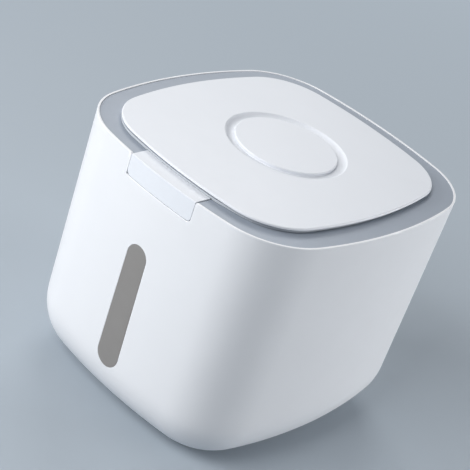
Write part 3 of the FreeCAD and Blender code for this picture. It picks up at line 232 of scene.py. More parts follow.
class KeeperFinish(bpy.types.PropertyGroup):
    """Colours and surface of the mouldings."""

    body_white: tone("Bin white", "Colour of the bin's moulding", (0.80, 0.81, 0.835))
    lid_white: tone("Lid white", "Colour of the lid and the latch", (0.76, 0.785, 0.83))
    frame_grey: tone("Frame grey", "Colour of the frame round the lid", (0.325, 0.365, 0.425))
    under_grey: tone("Under-lid grey", "Colour of the under-lid and the drying chamber",
                     (0.47, 0.50, 0.54))
    cap_grey: tone("Cap grey", "Colour of the drying chamber's cap", (0.40, 0.43, 0.47))
    smoke: tone("Window smoke", "Colour of the frosted level window", (0.286, 0.273, 0.262))
    grain: bpy.props.FloatProperty(
        name="Grain size", description="Width of the fine moulded grain",
        default=0.0007, min=0.0001, max=0.005, unit="LENGTH")
    roughness: bpy.props.FloatProperty(
        name="Roughness", description="How matt the white mouldings are",
        default=0.42, min=0.0, max=1.0, subtype="FACTOR")


class KeeperStage(bpy.types.PropertyGroup):
    """Floor, lamps and view."""

    floor: tone("Floor", "Colour of the plain floor", (0.40, 0.45, 0.50))
    distance: tone("Distance", "Even tone that the floor fades to far from the keeper",
                   (0.42, 0.48, 0.54))
    front_power: power("Front lamp", "Power of the large lamp at the front", 21.2)
    left_power: power("Left lamp", "Power of the large lamp at the left", 31.4)
    high_power: power("High lamp", "Power of the high lamp at the rear left", 14.2)
    rear_power: power("Rear lamp", "Power of the large lamp at the rear right", 39.8)
    sky: bpy.props.FloatProperty(
        name="Room light", description="Strength of the even light from all round",
        default=0.23, min=0.0, max=3.0)


# ---------------------------------------------------------------- node materials
def new_material(name):
    """A material with its shader, and object coordinates to drive its patterns."""
    material = bpy.data.materials.new(name)
    material.use_nodes = True
    tree = material.node_tree
    shader = tree.nodes["Principled BSDF"]
    coords = tree.nodes.new("ShaderNodeTexCoord")
    return material, tree, shader, coords.outputs["Object"]


def fill(tree, node, sockets):
    """Sets a node's sockets, or links each to the output that is given for it."""
    for name, value in sockets.items():
        if isinstance(value, bpy.types.NodeSocket):
            tree.links.new(value, node.inputs[name])
        else:
            node.inputs[name].default_value = value


def wire(tree, kind, output, sockets, **settings):
    """Adds a node with its settings and sockets, and gives one of its outputs."""
    node = tree.nodes.new("ShaderNode" + kind)
    for name, value in settings.items():
        setattr(node, name, value)
    fill(tree, node, sockets)
    return node.outputs[output]


def noise(tree, where, size, detail, roughness=0.5):
    """A noise whose lumps are about that size across, in metres."""
    return wire(tree, "TexNoise", "Fac", {
        "Vector": where, "Scale": 1.0 / size, "Detail": detail, "Roughness": roughness})


def spread(tree, value, low, high, start=0.0, end=1.0):
    """Maps a value from start..end to low..high."""
    return wire(tree, "MapRange", "Result", {
        "Value": value, "From Min": start, "From Max": end, "To Min": low, "To Max": high})


def tint(tree, factor, first, second):
    """Blends two colours by a factor; the first may be the outcome of another blend."""
    if not isinstance(first, bpy.types.NodeSocket):
        first = (*first, 1.0)
    return wire(tree, "Mix", "Result", {"A": first, "B": (*second, 1.0), "Factor": factor},
                data_type="RGBA")


def bump(tree, height, depth, below=None):
    """Raises the surface by a height pattern, on top of another bump."""
    sockets = {"Strength": 1.0, "Distance": depth, "Height": height}
    if below is not None:
        sockets["Normal"] = below
    return wire(tree, "Bump", "Normal", sockets)


def scaled(colour, amount):
    """The colour made lighter or darker."""
    return tuple(min(1.0, part * amount) for part in colour)


def mottled(tree, pattern, first, second, start=0.3, end=0.7):
    """Blends two colours by the middle of a noise."""
    return tint(tree, spread(tree, pattern, 0.0, 1.0, start, end), first, second)


def moulded_plastic(name, colour, roughness, grain, wear_and_highlight):
    """Satin moulded plastic: faint clouding, fine grain, and edges painted lighter, a painted
    highlight with a little wear.
    """
    depth = 0.00002
    material, tree, shader, where = new_material(name)
    shade = mottled(tree, noise(tree, where, 0.045, 3.0), scaled(colour, 0.985), colour)
    # Convex edges are painted lighter by the last number: a painted highlight on rims and cut
    # edges, with a little wear.
    rim = tree.nodes.new("ShaderNodeNewGeometry").outputs["Pointiness"]
    shade = tint(tree, spread(tree, rim, 0.0, 1.0, 0.51, 0.56), shade, scaled(colour, 1.0 + wear_and_highlight))
    patches = noise(tree, where, 0.012, 4.0)
    flow = bump(tree, noise(tree, where, 0.06, 1.0), depth * 4)
    fill(tree, shader, {
        "Base Color": shade,
        "Roughness": spread(tree, patches, roughness - 0.04, roughness + 0.04, 0.3, 0.7),
        "Normal": bump(tree, noise(tree, where, grain, 1.0), depth, flow),
        "IOR": 1.49, "Specular IOR Level": 0.45})
    return material


def frosted_window(name, colour, grain):
    """Smoked plastic, frosted on its inside so that only the grain level shows."""
    material, tree, shader, where = new_material(name)
    clouds, frost = noise(tree, where, 0.02, 3.0), noise(tree, where, 0.006, 3.0)
    fill(tree, shader, {
        "Base Color": mottled(tree, clouds, scaled(colour, 0.96), colour),
        "Roughness": spread(tree, frost, 0.36, 0.46, 0.3, 0.7),
        "Normal": bump(tree, noise(tree, where, grain, 1.0), 0.00001),
        "IOR": 1.5, "Transmission Weight": 0.12})
    return material


def silicone(name, colour):
    """Soft translucent rubber with a dusty bloom."""
    material, tree, shader, where = new_material(name)
    bloom = noise(tree, where, 0.004, 4.0)
    fill(tree, shader, {
        "Base Color": mottled(tree, bloom, colour, scaled(colour, 1.08)),
        "Roughness": spread(tree, bloom, 0.55, 0.68, 0.3, 0.7),
        "Normal": bump(tree, noise(tree, where, 0.0009, 2.0), 0.00001),
        "Subsurface Weight": 0.15, "Subsurface Radius": (0.002, 0.002, 0.002)})
    return material


def drawn_steel(name, colour, roughness):
    """Bright drawn steel with fine lengthways scratches."""
    material, tree, shader, where = new_material(name)
    stretched = wire(tree, "Mapping", "Vector", {"Vector": where, "Scale": (0.12, 1.0, 1.0)})
    lines = noise(tree, stretched, 0.0004, 2.0)
    fill(tree, shader, {
        "Base Color": tint(tree, lines, scaled(colour, 0.88), colour),
        "Roughness": spread(tree, lines, roughness - 0.06, roughness + 0.08),
        "Normal": bump(tree, lines, 0.000006),
        "Metallic": 1.0})
    return material


def foot_rubber(name, colour):
    """Dark grey rubber with a matt skin and faint scuffs."""
    material, tree, shader, where = new_material(name)
    scuffs = noise(tree, where, 0.003, 5.0, 0.7)
    fill(tree, shader, {
        "Base Color": mottled(tree, scuffs, colour, scaled(colour, 1.6), 0.4, 0.75),
        "Roughness": spread(tree, scuffs, 0.7, 0.85),
        "Normal": bump(tree, noise(tree, where, 0.0006, 2.0), 0.00003)})
    return material


def dress(obj, material):
    """Gives a piece or a carried-over node its one material."""
    obj.data.materials.clear()
    obj.data.materials.append(material)


# ---------------------------------------------------------------- working in edit mode
def pick(obj):
    """Leaves only this object selected and active."""
    bpy.ops.object.select_all(action="DESELECT")
    obj.select_set(True)
    bpy.context.view_layer.objects.active = obj


def join(pieces):
    """Joins the pieces into the first of them."""
    pick(pieces[0])
    for piece in pieces:
        piece.select_set(True)
    bpy.ops.object.join()
    return pieces[0]


def open_up(piece, kind, action):
    """Takes a piece into edit mode with all or none of it selected."""
    pick(piece)
    bpy.ops.object.mode_set(mode="EDIT")
    bpy.ops.mesh.select_mode(type=kind)
    bpy.ops.mesh.select_all(action=action)


def add(primitive, **settings):
    """Adds a primitive with nothing else selected."""
    bpy.ops.object.select_all(action="DESELECT")
    primitive(**settings)
    return bpy.context.view_layer.objects.active


def merged_copy(node, piece):
    """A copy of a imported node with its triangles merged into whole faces."""
    pick(NODES[node])
    bpy.ops.object.duplicate()
    copy = bpy.context.view_layer.objects.active
    copy.name = copy.data.name = piece
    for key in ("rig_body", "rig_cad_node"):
        if key in copy:
            del copy[key]
    copy.parent = None
    bpy.ops.mesh.customdata_custom_splitnormals_clear()
    bpy.ops.object.mode_set(mode="EDIT")
    bpy.ops.mesh.select_all(action="SELECT")
    bpy.ops.mesh.remove_doubles(threshold=1e-6)
    bpy.ops.mesh.dissolve_limited(angle_limit=math.radians(0.3))
    bpy.ops.object.mode_set(mode="OBJECT")
    return copy


# ---------------------------------------------------------------- drawing walls round an outline
def bowed_stations(form, middle_y=0.0):
    """Places round a rounded rectangle with bowed sides: arc centre, radius and direction."""
    along_side, along_corner = 20, 16
    back_x = form.bow - form.half_width
    back_y = form.bow - form.half_depth
    slope = back_y / back_x
    shift = (back_y ** 2 - back_x ** 2) / (2 * back_x)
    square = slope ** 2 + 1
    linear = 2 * slope * (shift + back_x)
    rest = (shift + back_x) ** 2 - (form.bow - form.corner) ** 2
    corner_y = (math.sqrt(linear ** 2 - 4 * square * rest) - linear) / (2 * square)
    corner_x = slope * corner_y + shift
    low = math.atan2(corner_y, corner_x + back_x)
    high = math.atan2(corner_y + back_y, corner_x)
    turn = math.pi
    arcs = [
        (-back_x, 0.0, form.bow, -low, low),
        (corner_x, corner_y, form.corner, low, high),
        (0.0, -back_y, form.bow, high, turn - high),
        (-corner_x, corner_y, form.corner, turn - high, turn - low),
        (back_x, 0.0, form.bow, turn - low, turn + low),
        (-corner_x, -corner_y, form.corner, turn + low, turn + high),
        (0.0, back_y, form.bow, turn + high, 2 * turn - high),
        (corner_x, -corner_y, form.corner, 2 * turn - high, 2 * turn - low),
    ]
    stations = []
    for number, (x, y, radius, start, end) in enumerate(arcs):
        steps = along_corner if number % 2 else along_side
        for step in range(steps):
            angle = start + (end - start) * step / steps
            stations.append((x, y + middle_y, radius, angle))
    return stations


def round_stations(middle_y, count):
    """Places round a circle whose radius comes from the inset alone."""
    return [(0.0, middle_y, 0.0, 2 * math.pi * step / count) for step in range(count)]


def outline(stations, inset, height):
    """The places of one ring along the stations, at that inset and height."""
    return [(x + (radius - inset) * math.cos(angle), y + (radius - inset) * math.sin(angle),
             height) for x, y, radius, angle in stations]


def rows(start, end, steps=20):
    """Even steps after the start, up to the end."""
    return [start + (end - start) * step / steps for step in range(1, steps + 1)]


def quarter(inset, height, radius, start, end, steps):
    """Points round part of a circle in the profile; 0 points inwards and 90 degrees up."""
    turns = [math.radians(angle) for angle in (start, *rows(start, end, steps))]
    return [(inset + radius * math.cos(turn), height + radius * math.sin(turn))
            for turn in turns]


def loft(name, rings, ends=(0, -1)):
    """Extrudes a ring of vertices through rings of places, and closes the ends named."""
    piece = add(bpy.ops.mesh.primitive_circle_add, vertices=len(rings[0]), radius=0.01)
    piece.name = piece.data.name = name
    bpy.ops.object.mode_set(mode="EDIT")
    mesh = bmesh.from_edit_mesh(piece.data)
    mark = mesh.verts.layers.int.new("station")
    mesh.verts.ensure_lookup_table()
    for number, vert in enumerate(mesh.verts):
        vert[mark] = number
    bmesh.update_edit_mesh(piece.data)
    closed = [range(len(rings))[end] for end in ends]
    for number, places in enumerate(rings):
        if number:
            bpy.ops.mesh.extrude_edges_indiv()
        mesh = bmesh.from_edit_mesh(piece.data)
        mark = mesh.verts.layers.int["station"]
        for vert in mesh.verts:
            if vert.select:
                vert.co = places[vert[mark]]
        bmesh.update_edit_mesh(piece.data)
        if number in closed:
            bpy.ops.mesh.edge_face_add()
    close_mesh(piece)
    return piece


def draw_wall(name, stations, profile, ends=(0, -1)):
    """Draws a wall round the stations through each inset and height of the profile."""
    return loft(name, [outline(stations, *point) for point in profile], ends)


def ring_wall(stations, profile):
    """A closed ring whose section is the profile, drawn round the outline."""
    return draw_wall("ring", stations, profile + profile[:1], ())


def bent_wire(name, path, radius):
    """Round wire drawn along a path of close places."""
    sides = 12
    rings = []
    across = Vector((0.0, 0.0, 1.0))
    for number, place in enumerate(path):
        along = path[min(number + 1, len(path) - 1)] - path[max(number - 1, 0)]
        across = across.cross(along).cross(-along).normalized()
        beside = along.normalized().cross(across)
        rings.append([])
        for step in range(sides):
            turn = 2 * math.pi * step / sides
            rings[-1].append(place + radius * (across * math.cos(turn) + beside * math.sin(turn)))
    return loft(name, rings)


def coil(start, end, turns, place):
    """Places along a coil between its ends; place gives each from its distance and its turn."""
    steps = round(turns * 20)
    return [place(start + (end - start) * step / steps, 2 * math.pi * step / 20)
            for step in range(steps + 1)]


def smooth_step(start, end, value):
    """Rises softly from 0 at the start to 1 at the end."""
    part = min(1.0, max(0.0, (value - start) / (end - start)))
    return part * part * (3 - 2 * part)


def close_mesh(piece):
    """Merges doubles, turns the faces outwards and goes back to object mode."""
    bpy.ops.mesh.select_all(action="SELECT")
    bpy.ops.mesh.remove_doubles(threshold=1e-7)
    bpy.ops.mesh.normals_make_consistent(inside=False)
    bpy.ops.object.mode_set(mode="OBJECT")
    layer = piece.data.attributes.get("station")
    if layer:
        piece.data.attributes.remove(layer)


def cut_away(piece, cutter, operation="DIFFERENCE"):
    """Cuts one piece with another, or joins them, and clears the other away."""
    pick(piece)
    cut = piece.modifiers.new("Cut", "BOOLEAN")
    cut.operation = operation
    cut.solver = "EXACT"
    cut.object = cutter
    bpy.ops.object.modifier_apply(modifier=cut.name)
    pick(cutter)
    bpy.ops.object.delete()


def block(low, high):
    """A box between two corners, to cut with."""
    middle = [(a + b) / 2 for a, b in zip(low, high)]
    box = add(bpy.ops.mesh.primitive_cube_add, size=1.0, location=middle)
    box.scale = [b - a for a, b in zip(low, high)]
    bpy.ops.object.transform_apply()
    return box


def round_bar(radius, length, middle, tilt, vertices):
    """A round bar about its middle, upright or tilted level."""
    bar = add(bpy.ops.mesh.primitive_cylinder_add, vertices=vertices, radius=radius,
              depth=length, location=middle, rotation=(math.radians(tilt), 0.0, 0.0))
    bpy.ops.object.transform_apply()
    return bar


def drum(radius, low, high, x, y, vertices=64):
    """An upright round bar between two heights."""
    return round_bar(radius, high - low, (x, y, (low + high) / 2), 0, vertices)


def rod(radius, low, high, x, z, vertices=64):
    """A level round bar that runs front to back between two depths."""
    return round_bar(radius, high - low, (x, (low + high) / 2, z), 90, vertices)


def round_edges(piece, width, segments, where):
    """Bevels the sharp edges that pass the test, in edit mode."""
    open_up(piece, "EDGE", "DESELECT")
    mesh = bmesh.from_edit_mesh(piece.data)
    for edge in mesh.edges:
        sharp = len(edge.link_faces) == 2 and edge.calc_face_angle(0.0) > SHARP
        edge.select_set(sharp and where(edge))
    bmesh.update_edit_mesh(piece.data)
    bpy.ops.mesh.bevel(offset=width, segments=segments, affect="EDGES", profile=0.5,
                       clamp_overlap=False, miter_outer="ARC")
    bpy.ops.object.mode_set(mode="OBJECT")


def finish(piece, node):
    """Clears slivers, shades smooth up to the sharp edges and takes the node's material."""
    open_up(piece, "VERT", "SELECT")
    bpy.ops.mesh.remove_doubles(threshold=SLIVER)
    bpy.ops.mesh.dissolve_degenerate(threshold=SLIVER)
    bpy.ops.object.mode_set(mode="OBJECT")
    bpy.ops.object.shade_smooth_by_angle(angle=SMOOTH)
    flats = piece.modifiers.new("Even normals", "WEIGHTED_NORMAL")
    flats.keep_sharp = True
    bpy.ops.object.modifier_apply(modifier=flats.name)
    dress(piece, NODES[node].data.materials[0])


# ---------------------------------------------------------------- bin
def leaning(form, inset, heights):
    """Points of a wall that leans with the bin's draft, at those heights."""
    lean = math.tan(form.draft)
    return [(inset + (form.rim - height) * lean, height) for height in heights]


def bin_profile(form, ground):
    """The bin's section from the middle of its floor outside, over the rim, to the floor inside."""
    tip = math.degrees(form.draft)
    outside = ground + form.bottom_round

    def bend(inset, radius, start, end):
        middle = leaning(form, inset + radius / math.cos(form.draft), [outside])[0]
        return quarter(*middle, radius, start, end, 14)

    profile = bend(0.0, form.bottom_round, 270, 180 + tip)
    top = form.rim - form.rim_round
    heights = rows(profile[-1][1], top)
    heights.insert(-1, top - RIM_ROW)
    profile += leaning(form, 0.0, heights)
    profile += quarter(form.rim_round, top, form.rim_round, 180, 90, 3)[1:]
    profile += quarter(form.lip - form.rim_round, top, form.rim_round, 90, 0, 3)
    groove = form.rim - SNAP_DROP
    deep = form.lip - SNAP_DEPTH
    profile += [(form.lip, groove), (deep, groove), (deep, groove - SNAP_HEIGHT),
                (form.lip, groove - SNAP_HEIGHT)]
    ledge = form.rim - form.ledge
    inside = bend(form.wall, form.bottom_round - form.wall, 180 + tip, 270)
    profile.append((form.lip, ledge))
    profile += leaning(form, form.wall, [ledge] + rows(ledge, inside[0][1])[:-1])
    return profile + inside


class RICE_OT_bin_shell(bpy.types.Operator):
    """Draw the bin's wall up from its floor, over the rim and down inside, then cut it"""

    bl_idname = "rice_keeper.bin_shell"
    bl_label = "Bin shell"

    def execute(self, context):
        form = context.scene.keeper_bin
        ground = LOW.z
        piece = draw_wall("bin_shell", bowed_stations(form), bin_profile(form, ground))
        cut_notch(piece, form, context.scene.keeper_latch.corner)
        for foot in FEET:
            low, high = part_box(foot)
            middle = (low + high) / 2
            cut_away(piece, drum(FOOT_RECESS, ground - 0.005, high.z, middle.x, middle.y))
        cut_away(piece, window_bar(form))
        add_stakes(piece, form)

        latch_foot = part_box("latch_button")[0].z
        round_edges(piece, form.notch_round, 4,
                    lambda edge: on_skin(form, edge, latch_foot - 0.001, form.rim - 0.0003))
        round_edges(piece, form.cut_round, 3,
                    lambda edge: on_skin(form, edge, ground, latch_foot - 0.02))
        finish(piece, "bin_body")
        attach(piece, "case")
        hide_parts("bin_body")
        return {"FINISHED"}


def on_skin(form, edge, low, high):
    """Whether an edge lies on the outside of the front wall, between two heights."""
    middle = (edge.verts[0].co + edge.verts[1].co) / 2
    depth = (form.rim - middle.z) * math.tan(form.draft)
    skin = math.sqrt((form.bow - depth) ** 2 - middle.x ** 2) - form.bow + form.half_depth
    near_front = abs(middle.y + skin) < 0.0003 and middle.y < 0.0
    return near_front and abs(middle.x) < 0.040 and low < middle.z < high


def cut_notch(piece, form, corner):
    """Cuts the latch's notch from the front wall, its upper corners run out into the rim."""
    low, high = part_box("latch_button")
    left, right = low.x - form.seam, high.x + form.tight_seam
    front, back = -form.half_depth - 0.005, NOTCH_BACK
    foot, top = low.z - form.under_seam, form.rim + 0.005
    notch = block((left, front, foot), (right - corner, back, top))
    cut_away(notch, block((right - corner - 0.001, front, foot + corner), (right, back, top)),
             "UNION")
    cut_away(notch, rod(corner, front, back, right - corner, foot + corner), "UNION")
    cut_away(piece, notch)
    left -= form.flare
    right += form.flare
    mouth = block((left, front, form.rim - form.flare), (right, back, top))
    for x in (left, right):
        cut_away(mouth, rod(form.flare, front - 0.001, back + 0.001, x, form.rim - form.flare))
    cut_away(piece, mouth)


def window_bar(form, slack=0.0):
    """A bar with round ends through the front wall, drawn in a little to the left at its top."""
    radius = form.window_radius - slack
    top = form.rim - WINDOW_TOP - form.window_radius
    bottom = form.rim - WINDOW_BOTTOM + form.window_radius
    middle = (top + bottom) / 2
    sides = 96
    bar = add(bpy.ops.mesh.primitive_cylinder_add, vertices=sides, radius=radius, depth=0.03)
    bar.rotation_euler = (math.radians(90), math.radians(180 / sides), 0.0)
    bar.location = (0.0, -form.half_depth, middle)
    bpy.ops.object.transform_apply()
    bpy.ops.object.mode_set(mode="EDIT")
    narrow = (radius - form.window_taper) / radius
    for side, across, up, shrink in ((1, -form.window_taper, top - middle, narrow),
                                     (-1, 0.0, bottom - middle, 1.0)):
        bpy.ops.mesh.select_all(action="DESELECT")
        mesh = bmesh.from_edit_mesh(bar.data)
        for vert in mesh.verts:
            vert.select_set(side * (vert.co.z - middle) > 0)
        mesh.select_flush(True)
        bmesh.update_edit_mesh(bar.data)
        bpy.ops.transform.resize(value=(shrink, 1.0, shrink),
                                 center_override=(0.0, -form.half_depth, middle))
        bpy.ops.transform.translate(value=(across, 0.0, up))
    bpy.ops.object.mode_set(mode="OBJECT")
    return bar


def add_stakes(piece, form):
    """Adds the six headed stakes that hold the window's flange inside the front wall."""
    head, head_height, head_round = 0.0017, 0.0009, 0.0005
    shank, shank_length, weld = 0.0010, 0.0045, 0.0002
    flange_back, beside = 0.0062, 0.0047
    middle = form.rim - (WINDOW_TOP + WINDOW_BOTTOM) / 2
    stakes = []
    for row in (-1, 0, 1):
        height = middle + row * STAKE_PITCH
        seat = leaning(form, flange_back - form.half_depth, [height])[0][0]
        for side in (-1, 1):
            x = side * (form.window_radius + beside)
            stake = rod(head, seat, seat + head_height, x, height, 40)
            round_edges(stake, head_round, 4,
                        lambda edge: min(vert.co.y for vert in edge.verts) > seat + head_round)
            cut_away(stake, rod(shank, seat - shank_length, seat + weld, x, height, 24), "UNION")
            stakes.append(stake)
    cut_away(piece, join(stakes), "UNION")


class RICE_OT_window(bpy.types.Operator):
    """Draw the level window's plug on its flange and soften the edge of its face"""

    bl_idname = "rice_keeper.window"
    bl_label = "Level window"

    def execute(self, context):
        form = context.scene.keeper_bin
        piece = merged_copy("window_lens", "level_window")
        low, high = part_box("window_lens")
        back = WINDOW_PLUG - form.half_depth
        cut_away(piece, block((low.x, -0.2, low.z - 0.001), (high.x, back, high.z + 0.001)))
        plug = draw_wall("plug", bowed_stations(form), leaning(form, 0.0, (low.z, high.z)))
        cut_away(plug, block((-0.2, back + 0.0002, 0.0), (0.2, 0.2, form.rim)))
        cut_away(plug, window_bar(form, WINDOW_GAP), "INTERSECT")
        cut_away(piece, plug, "UNION")
        round_edges(piece, 0.0003, 3, lambda edge: on_skin(form, edge, low.z, high.z))
        finish(piece, "window_lens")
        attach(piece, "case")
        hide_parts("window_lens")
        return {"FINISHED"}


# ---------------------------------------------------------------- lid
def lid_edge_profile(form, web, top):
    """The lid's outer section: up the step, out under the thin edge and over its round."""
    under = top - form.edge
    nick = 0.0002
    profile = [(form.step, web), (form.step, under), (nick, under), (0.0, under + nick)]
    return profile + quarter(form.edge_round, top - form.edge_round, form.edge_round, 180, 90, 7)


def groove_profile(form, top):
    """The round groove from outside in: soft shoulder, hollow slope, floor, disc edge."""
    floor_radius = form.groove - form.groove_slope
    run, depth = form.groove - floor_radius, form.groove_depth
    bend = (run ** 2 + depth ** 2) / (2 * depth)
    shoulder = 0.0012
    rise = bend - depth
    out = math.sqrt((bend + shoulder) ** 2 - (rise + shoulder) ** 2)
    meet = math.degrees(math.atan2(rise + shoulder, out))
    nick, edge = 0.0008, 0.0010
    section = quarter(floor_radius + out, top - shoulder, shoulder, 90, 180 - meet, 6)
    section += quarter(floor_radius, top + rise, bend, -meet, -90, 8)[1:]
    section += quarter(form.disc + nick, top - depth + nick, nick, 270, 180, 5)
    section += quarter(form.disc - edge, top - edge, edge, 0, 90, 6)
    return [(-radius, height) for radius, height in section]


class RICE_OT_lid_shell(bpy.types.Operator):
    """Draw the lid's stepped edge, join it to its round groove, and add the screw bosses"""

    bl_idname = "rice_keeper.lid_shell"
    bl_label = "Lid"

    def execute(self, context):
        form = context.scene.keeper_lid
        rim = context.scene.keeper_bin.rim
        top, web = LID_HIGH.z, rim + LID_WEB
        stations = bowed_stations(form, LID_MIDDLE)
        piece = draw_wall("lid_shell", stations, lid_edge_profile(form, web, top), (0,))
        cap_low, cap_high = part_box("vent_cap")
        circle = round_stations((cap_low.y + cap_high.y) / 2, len(stations))
        groove = draw_wall("groove", circle, groove_profile(form, top), (-1,))
        join([piece, groove])
        open_up(piece, "EDGE", "DESELECT")
        bpy.ops.mesh.select_non_manifold(extend=False)
        bpy.ops.mesh.bridge_edge_loops()
        close_mesh(piece)

        for x, y in screw_axes(form):
            cut_away(piece, drum(form.boss, web - form.boss_drop, web + 0.0004, x, y, 48), "UNION")
        for x, y in screw_axes(form):
            cut_away(piece, drum(form.bore, web - 0.005, web + 0.00095, x, y, 24))
        front, back, height = 0.011, 0.0027, 0.0036
        cut_away(piece, block((-TROUGH, HINGE_Y - front, web - 0.001),
                              (TROUGH, HINGE_Y + back, rim + height)))
        finish(piece, "lid_panel")
        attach(piece, "lid")
        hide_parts("lid_panel")
        return {"FINISHED"}


class RICE_OT_under_lid(bpy.types.Operator):
    """Trim the under-lid and draw its outer rim round it, one slot below the lid's edge"""

    bl_idname = "rice_keeper.under_lid"
    bl_label = "Under-lid"

    def execute(self, context):
        form = context.scene.keeper_lid
        rim = context.scene.keeper_bin.rim
        top, foot = rim + form.rim_top, rim - 0.0002
        edge = HINGE_Y - TROUGH_FRONT
        below, above = rim - 0.01, rim + 0.01
        piece = merged_copy("lid_base", "under_lid")
        cut_away(piece, block((-FAR, -FAR, top), (FAR, edge, above)))
        for side in (-1, 1):
            inner, outer = sorted((side * (TROUGH + 0.00005), side * FAR))
            cut_away(piece, block((inner, edge, top), (outer, FAR, above)))

        stations = bowed_stations(form, LID_MIDDLE)
        weld, past, bite = 0.0032, 0.002, 0.0002
        trim = ring_wall(stations, [(-past, foot - bite), (-past, top + 0.001),
                                    (weld - bite, top + 0.001), (weld - bite, foot - bite)])
        cut_away(trim, block((-TROUGH, edge, below), (TROUGH, FAR, above)))
        cut_away(piece, trim)

        drawn_in = []
        for x, y, radius, angle in stations:
            setback = smooth_step(0.036, 0.058, x + radius * math.cos(angle))
            drawn_in.append((x, y, radius - form.rim_setback * setback, angle))
        soft = 0.0003
        profile = [(form.rim_inset, foot)]
        profile += quarter(form.rim_inset + soft, top - soft, soft, 180, 90, 3)
        profile += [(weld, top), (weld, foot)]
        ring = ring_wall(drawn_in, profile)
        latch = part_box("latch_button")
        reach = latch[1].x + 0.0008
        cut_away(ring, block((-reach, -FAR, below), (reach, -0.09, rim + 0.0004)))
        clear = TROUGH + 0.0001
        cut_away(ring, block((-clear, edge, below), (clear, FAR, above)))
        cut_away(piece, ring, "UNION")
        finish(piece, "lid_base")
        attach(piece, "lid")
        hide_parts("lid_base")
        return {"FINISHED"}


def screw_axes(form):
    """Where the six screws stand, three along each side of the lid."""
    across = form.half_width - SCREW_SIDE
    along = form.half_depth - SCREW_END
    return [(side * across, LID_MIDDLE + row * along) for side in (-1, 1) for row in (-1, 0, 1)]


# ---------------------------------------------------------------- drying cap
def turned_copies(piece, count, centre):
    """Repeats a piece round an upright axis and joins the copies to it."""
    pick(piece)
    copies = [piece]
    for _ in range(count - 1):
        bpy.ops.object.duplicate()
        bpy.ops.transform.rotate(value=2 * math.pi / count, orient_axis="Z",
                                 center_override=(*centre, 0.0))
        copies.append(bpy.context.view_layer.objects.active)
    return join(copies)


class RICE_OT_drying_cap(bpy.types.Operator):
    """Turn the drying chamber's cap, cut its slots and add its finger bar"""

    bl_idname = "rice_keeper.drying_cap"
    bl_label = "Drying cap"

    def execute(self, context):
        form = context.scene.keeper_cap
        low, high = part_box("vent_cap")
        radius, y = high.x, (low.y + high.y) / 2
        inner = radius - form.wall
        outside = low.z + form.bar_height
        inside, top = outside + form.wall, high.z
        circle = round_stations(y, 128)
        soft, lip, hollow = form.edge_round, 0.0003, 0.0005
        profile = quarter(soft - radius, outside + soft, soft, 270, 180, 5)
        profile += quarter(lip - radius, top - lip, lip, 180, 90, 2)
        profile += quarter(-inner - lip, top - lip, lip, 90, 0, 2)
        profile += quarter(hollow - inner, inside + hollow, hollow, 180, 270, 3)
        piece = draw_wall("drying_cap", circle, profile)

        half = form.vent_width / 2
        ends = [(form.vent_end - half, -90), (form.vent_start + half, 90)]
        slot = [(x, y, half, math.radians(start + 180 * step / 8))
                for x, start in ends for step in range(9)]
        past, nick = 0.0005, 0.0003
        vent = draw_wall("vent", slot, [(0.0, inside + past), (0.0, outside + nick),
                                        (-nick, outside), (-nick, outside - past)])
        cut_away(piece, turned_copies(vent, form.vents, (0.0, y)))

        bar = block((-form.bar_reach, y - form.bar_half, low.z),
                    (form.bar_reach, y + form.bar_half, outside + 0.0003))
        round_edges(bar, form.bar_round, 4,
                    lambda edge: min(vert.co.z for vert in edge.verts) < low.z + 0.0001)
        cut_away(piece, bar, "UNION")
        catch = block((inner - 0.0014, y - 0.005, inside + 0.0018),
                      (inner + 0.0008, y + 0.005, inside + 0.0030))
        cut_away(piece, turned_copies(catch, 3, (0.0, y)), "UNION")
        finish(piece, "vent_cap")
        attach(piece, "drying_cap")
        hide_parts("vent_cap")
        return {"FINISHED"}


# ---------------------------------------------------------------- frame
class RICE_OT_frame(bpy.types.Operator):
    """Soften the cut edges of the frame round the latch and the hinge"""

    bl_idname = "rice_keeper.frame"
    bl_label = "Frame"

    def execute(self, context):
        top = context.scene.keeper_bin.rim - FRAME_DROP
        half_width, half_depth = 0.05, 0.10
        piece = merged_copy("top_frame", "frame_ring")

        def cut_edge(edge):
            middle = (edge.verts[0].co + edge.verts[1].co) / 2
            on_top = abs(middle.z - top) < 0.0001
            return on_top and abs(middle.x) < half_width and abs(middle.y) > half_depth

        round_edges(piece, 0.0003, 3, cut_edge)
        finish(piece, "top_frame")
        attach(piece, "case")
        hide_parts("top_frame")
        return {"FINISHED"}


# ---------------------------------------------------------------- latch
def latch_section(form, x, inset, low, high, shape):
    """The latch's section at one width: front, fold and top, as a closed loop of places."""
    corner = form.corner if x > 0 else form.left_corner
    rise = max(0.0, abs(x) - (high.x - corner))
    lift = corner - math.sqrt(max(0.0, corner ** 2 - rise ** 2))
    foot = low.z + lift + inset
    roof = high.z - inset
    bow = shape.bow - math.sqrt(shape.bow ** 2 - x ** 2)
    lean = math.tan(shape.draft)

    def front(z):
        return low.y + bow + (high.z - z) * lean + inset

    soft = max(form.edge_round - inset, 0.00005)
    fold = form.fold - inset
    inner_y = low.y + bow + form.skin - inset
    inner_z = high.z - form.top + inset
    back = low.y + form.reach - inset
    nick = 0.0008
    bends = quarter(soft, foot + soft, soft, 270, 180, 3)
    bends += quarter(fold, roof - fold, fold, 180, 90, 6)
    points = [(front(up) + run, up) for run, up in bends]
    points += quarter(back - soft, roof - soft, soft, 90, 0, 3)
    return points + [(back, inner_z), (inner_y + nick, inner_z), (inner_y, inner_z - nick),
                     (inner_y, foot)]


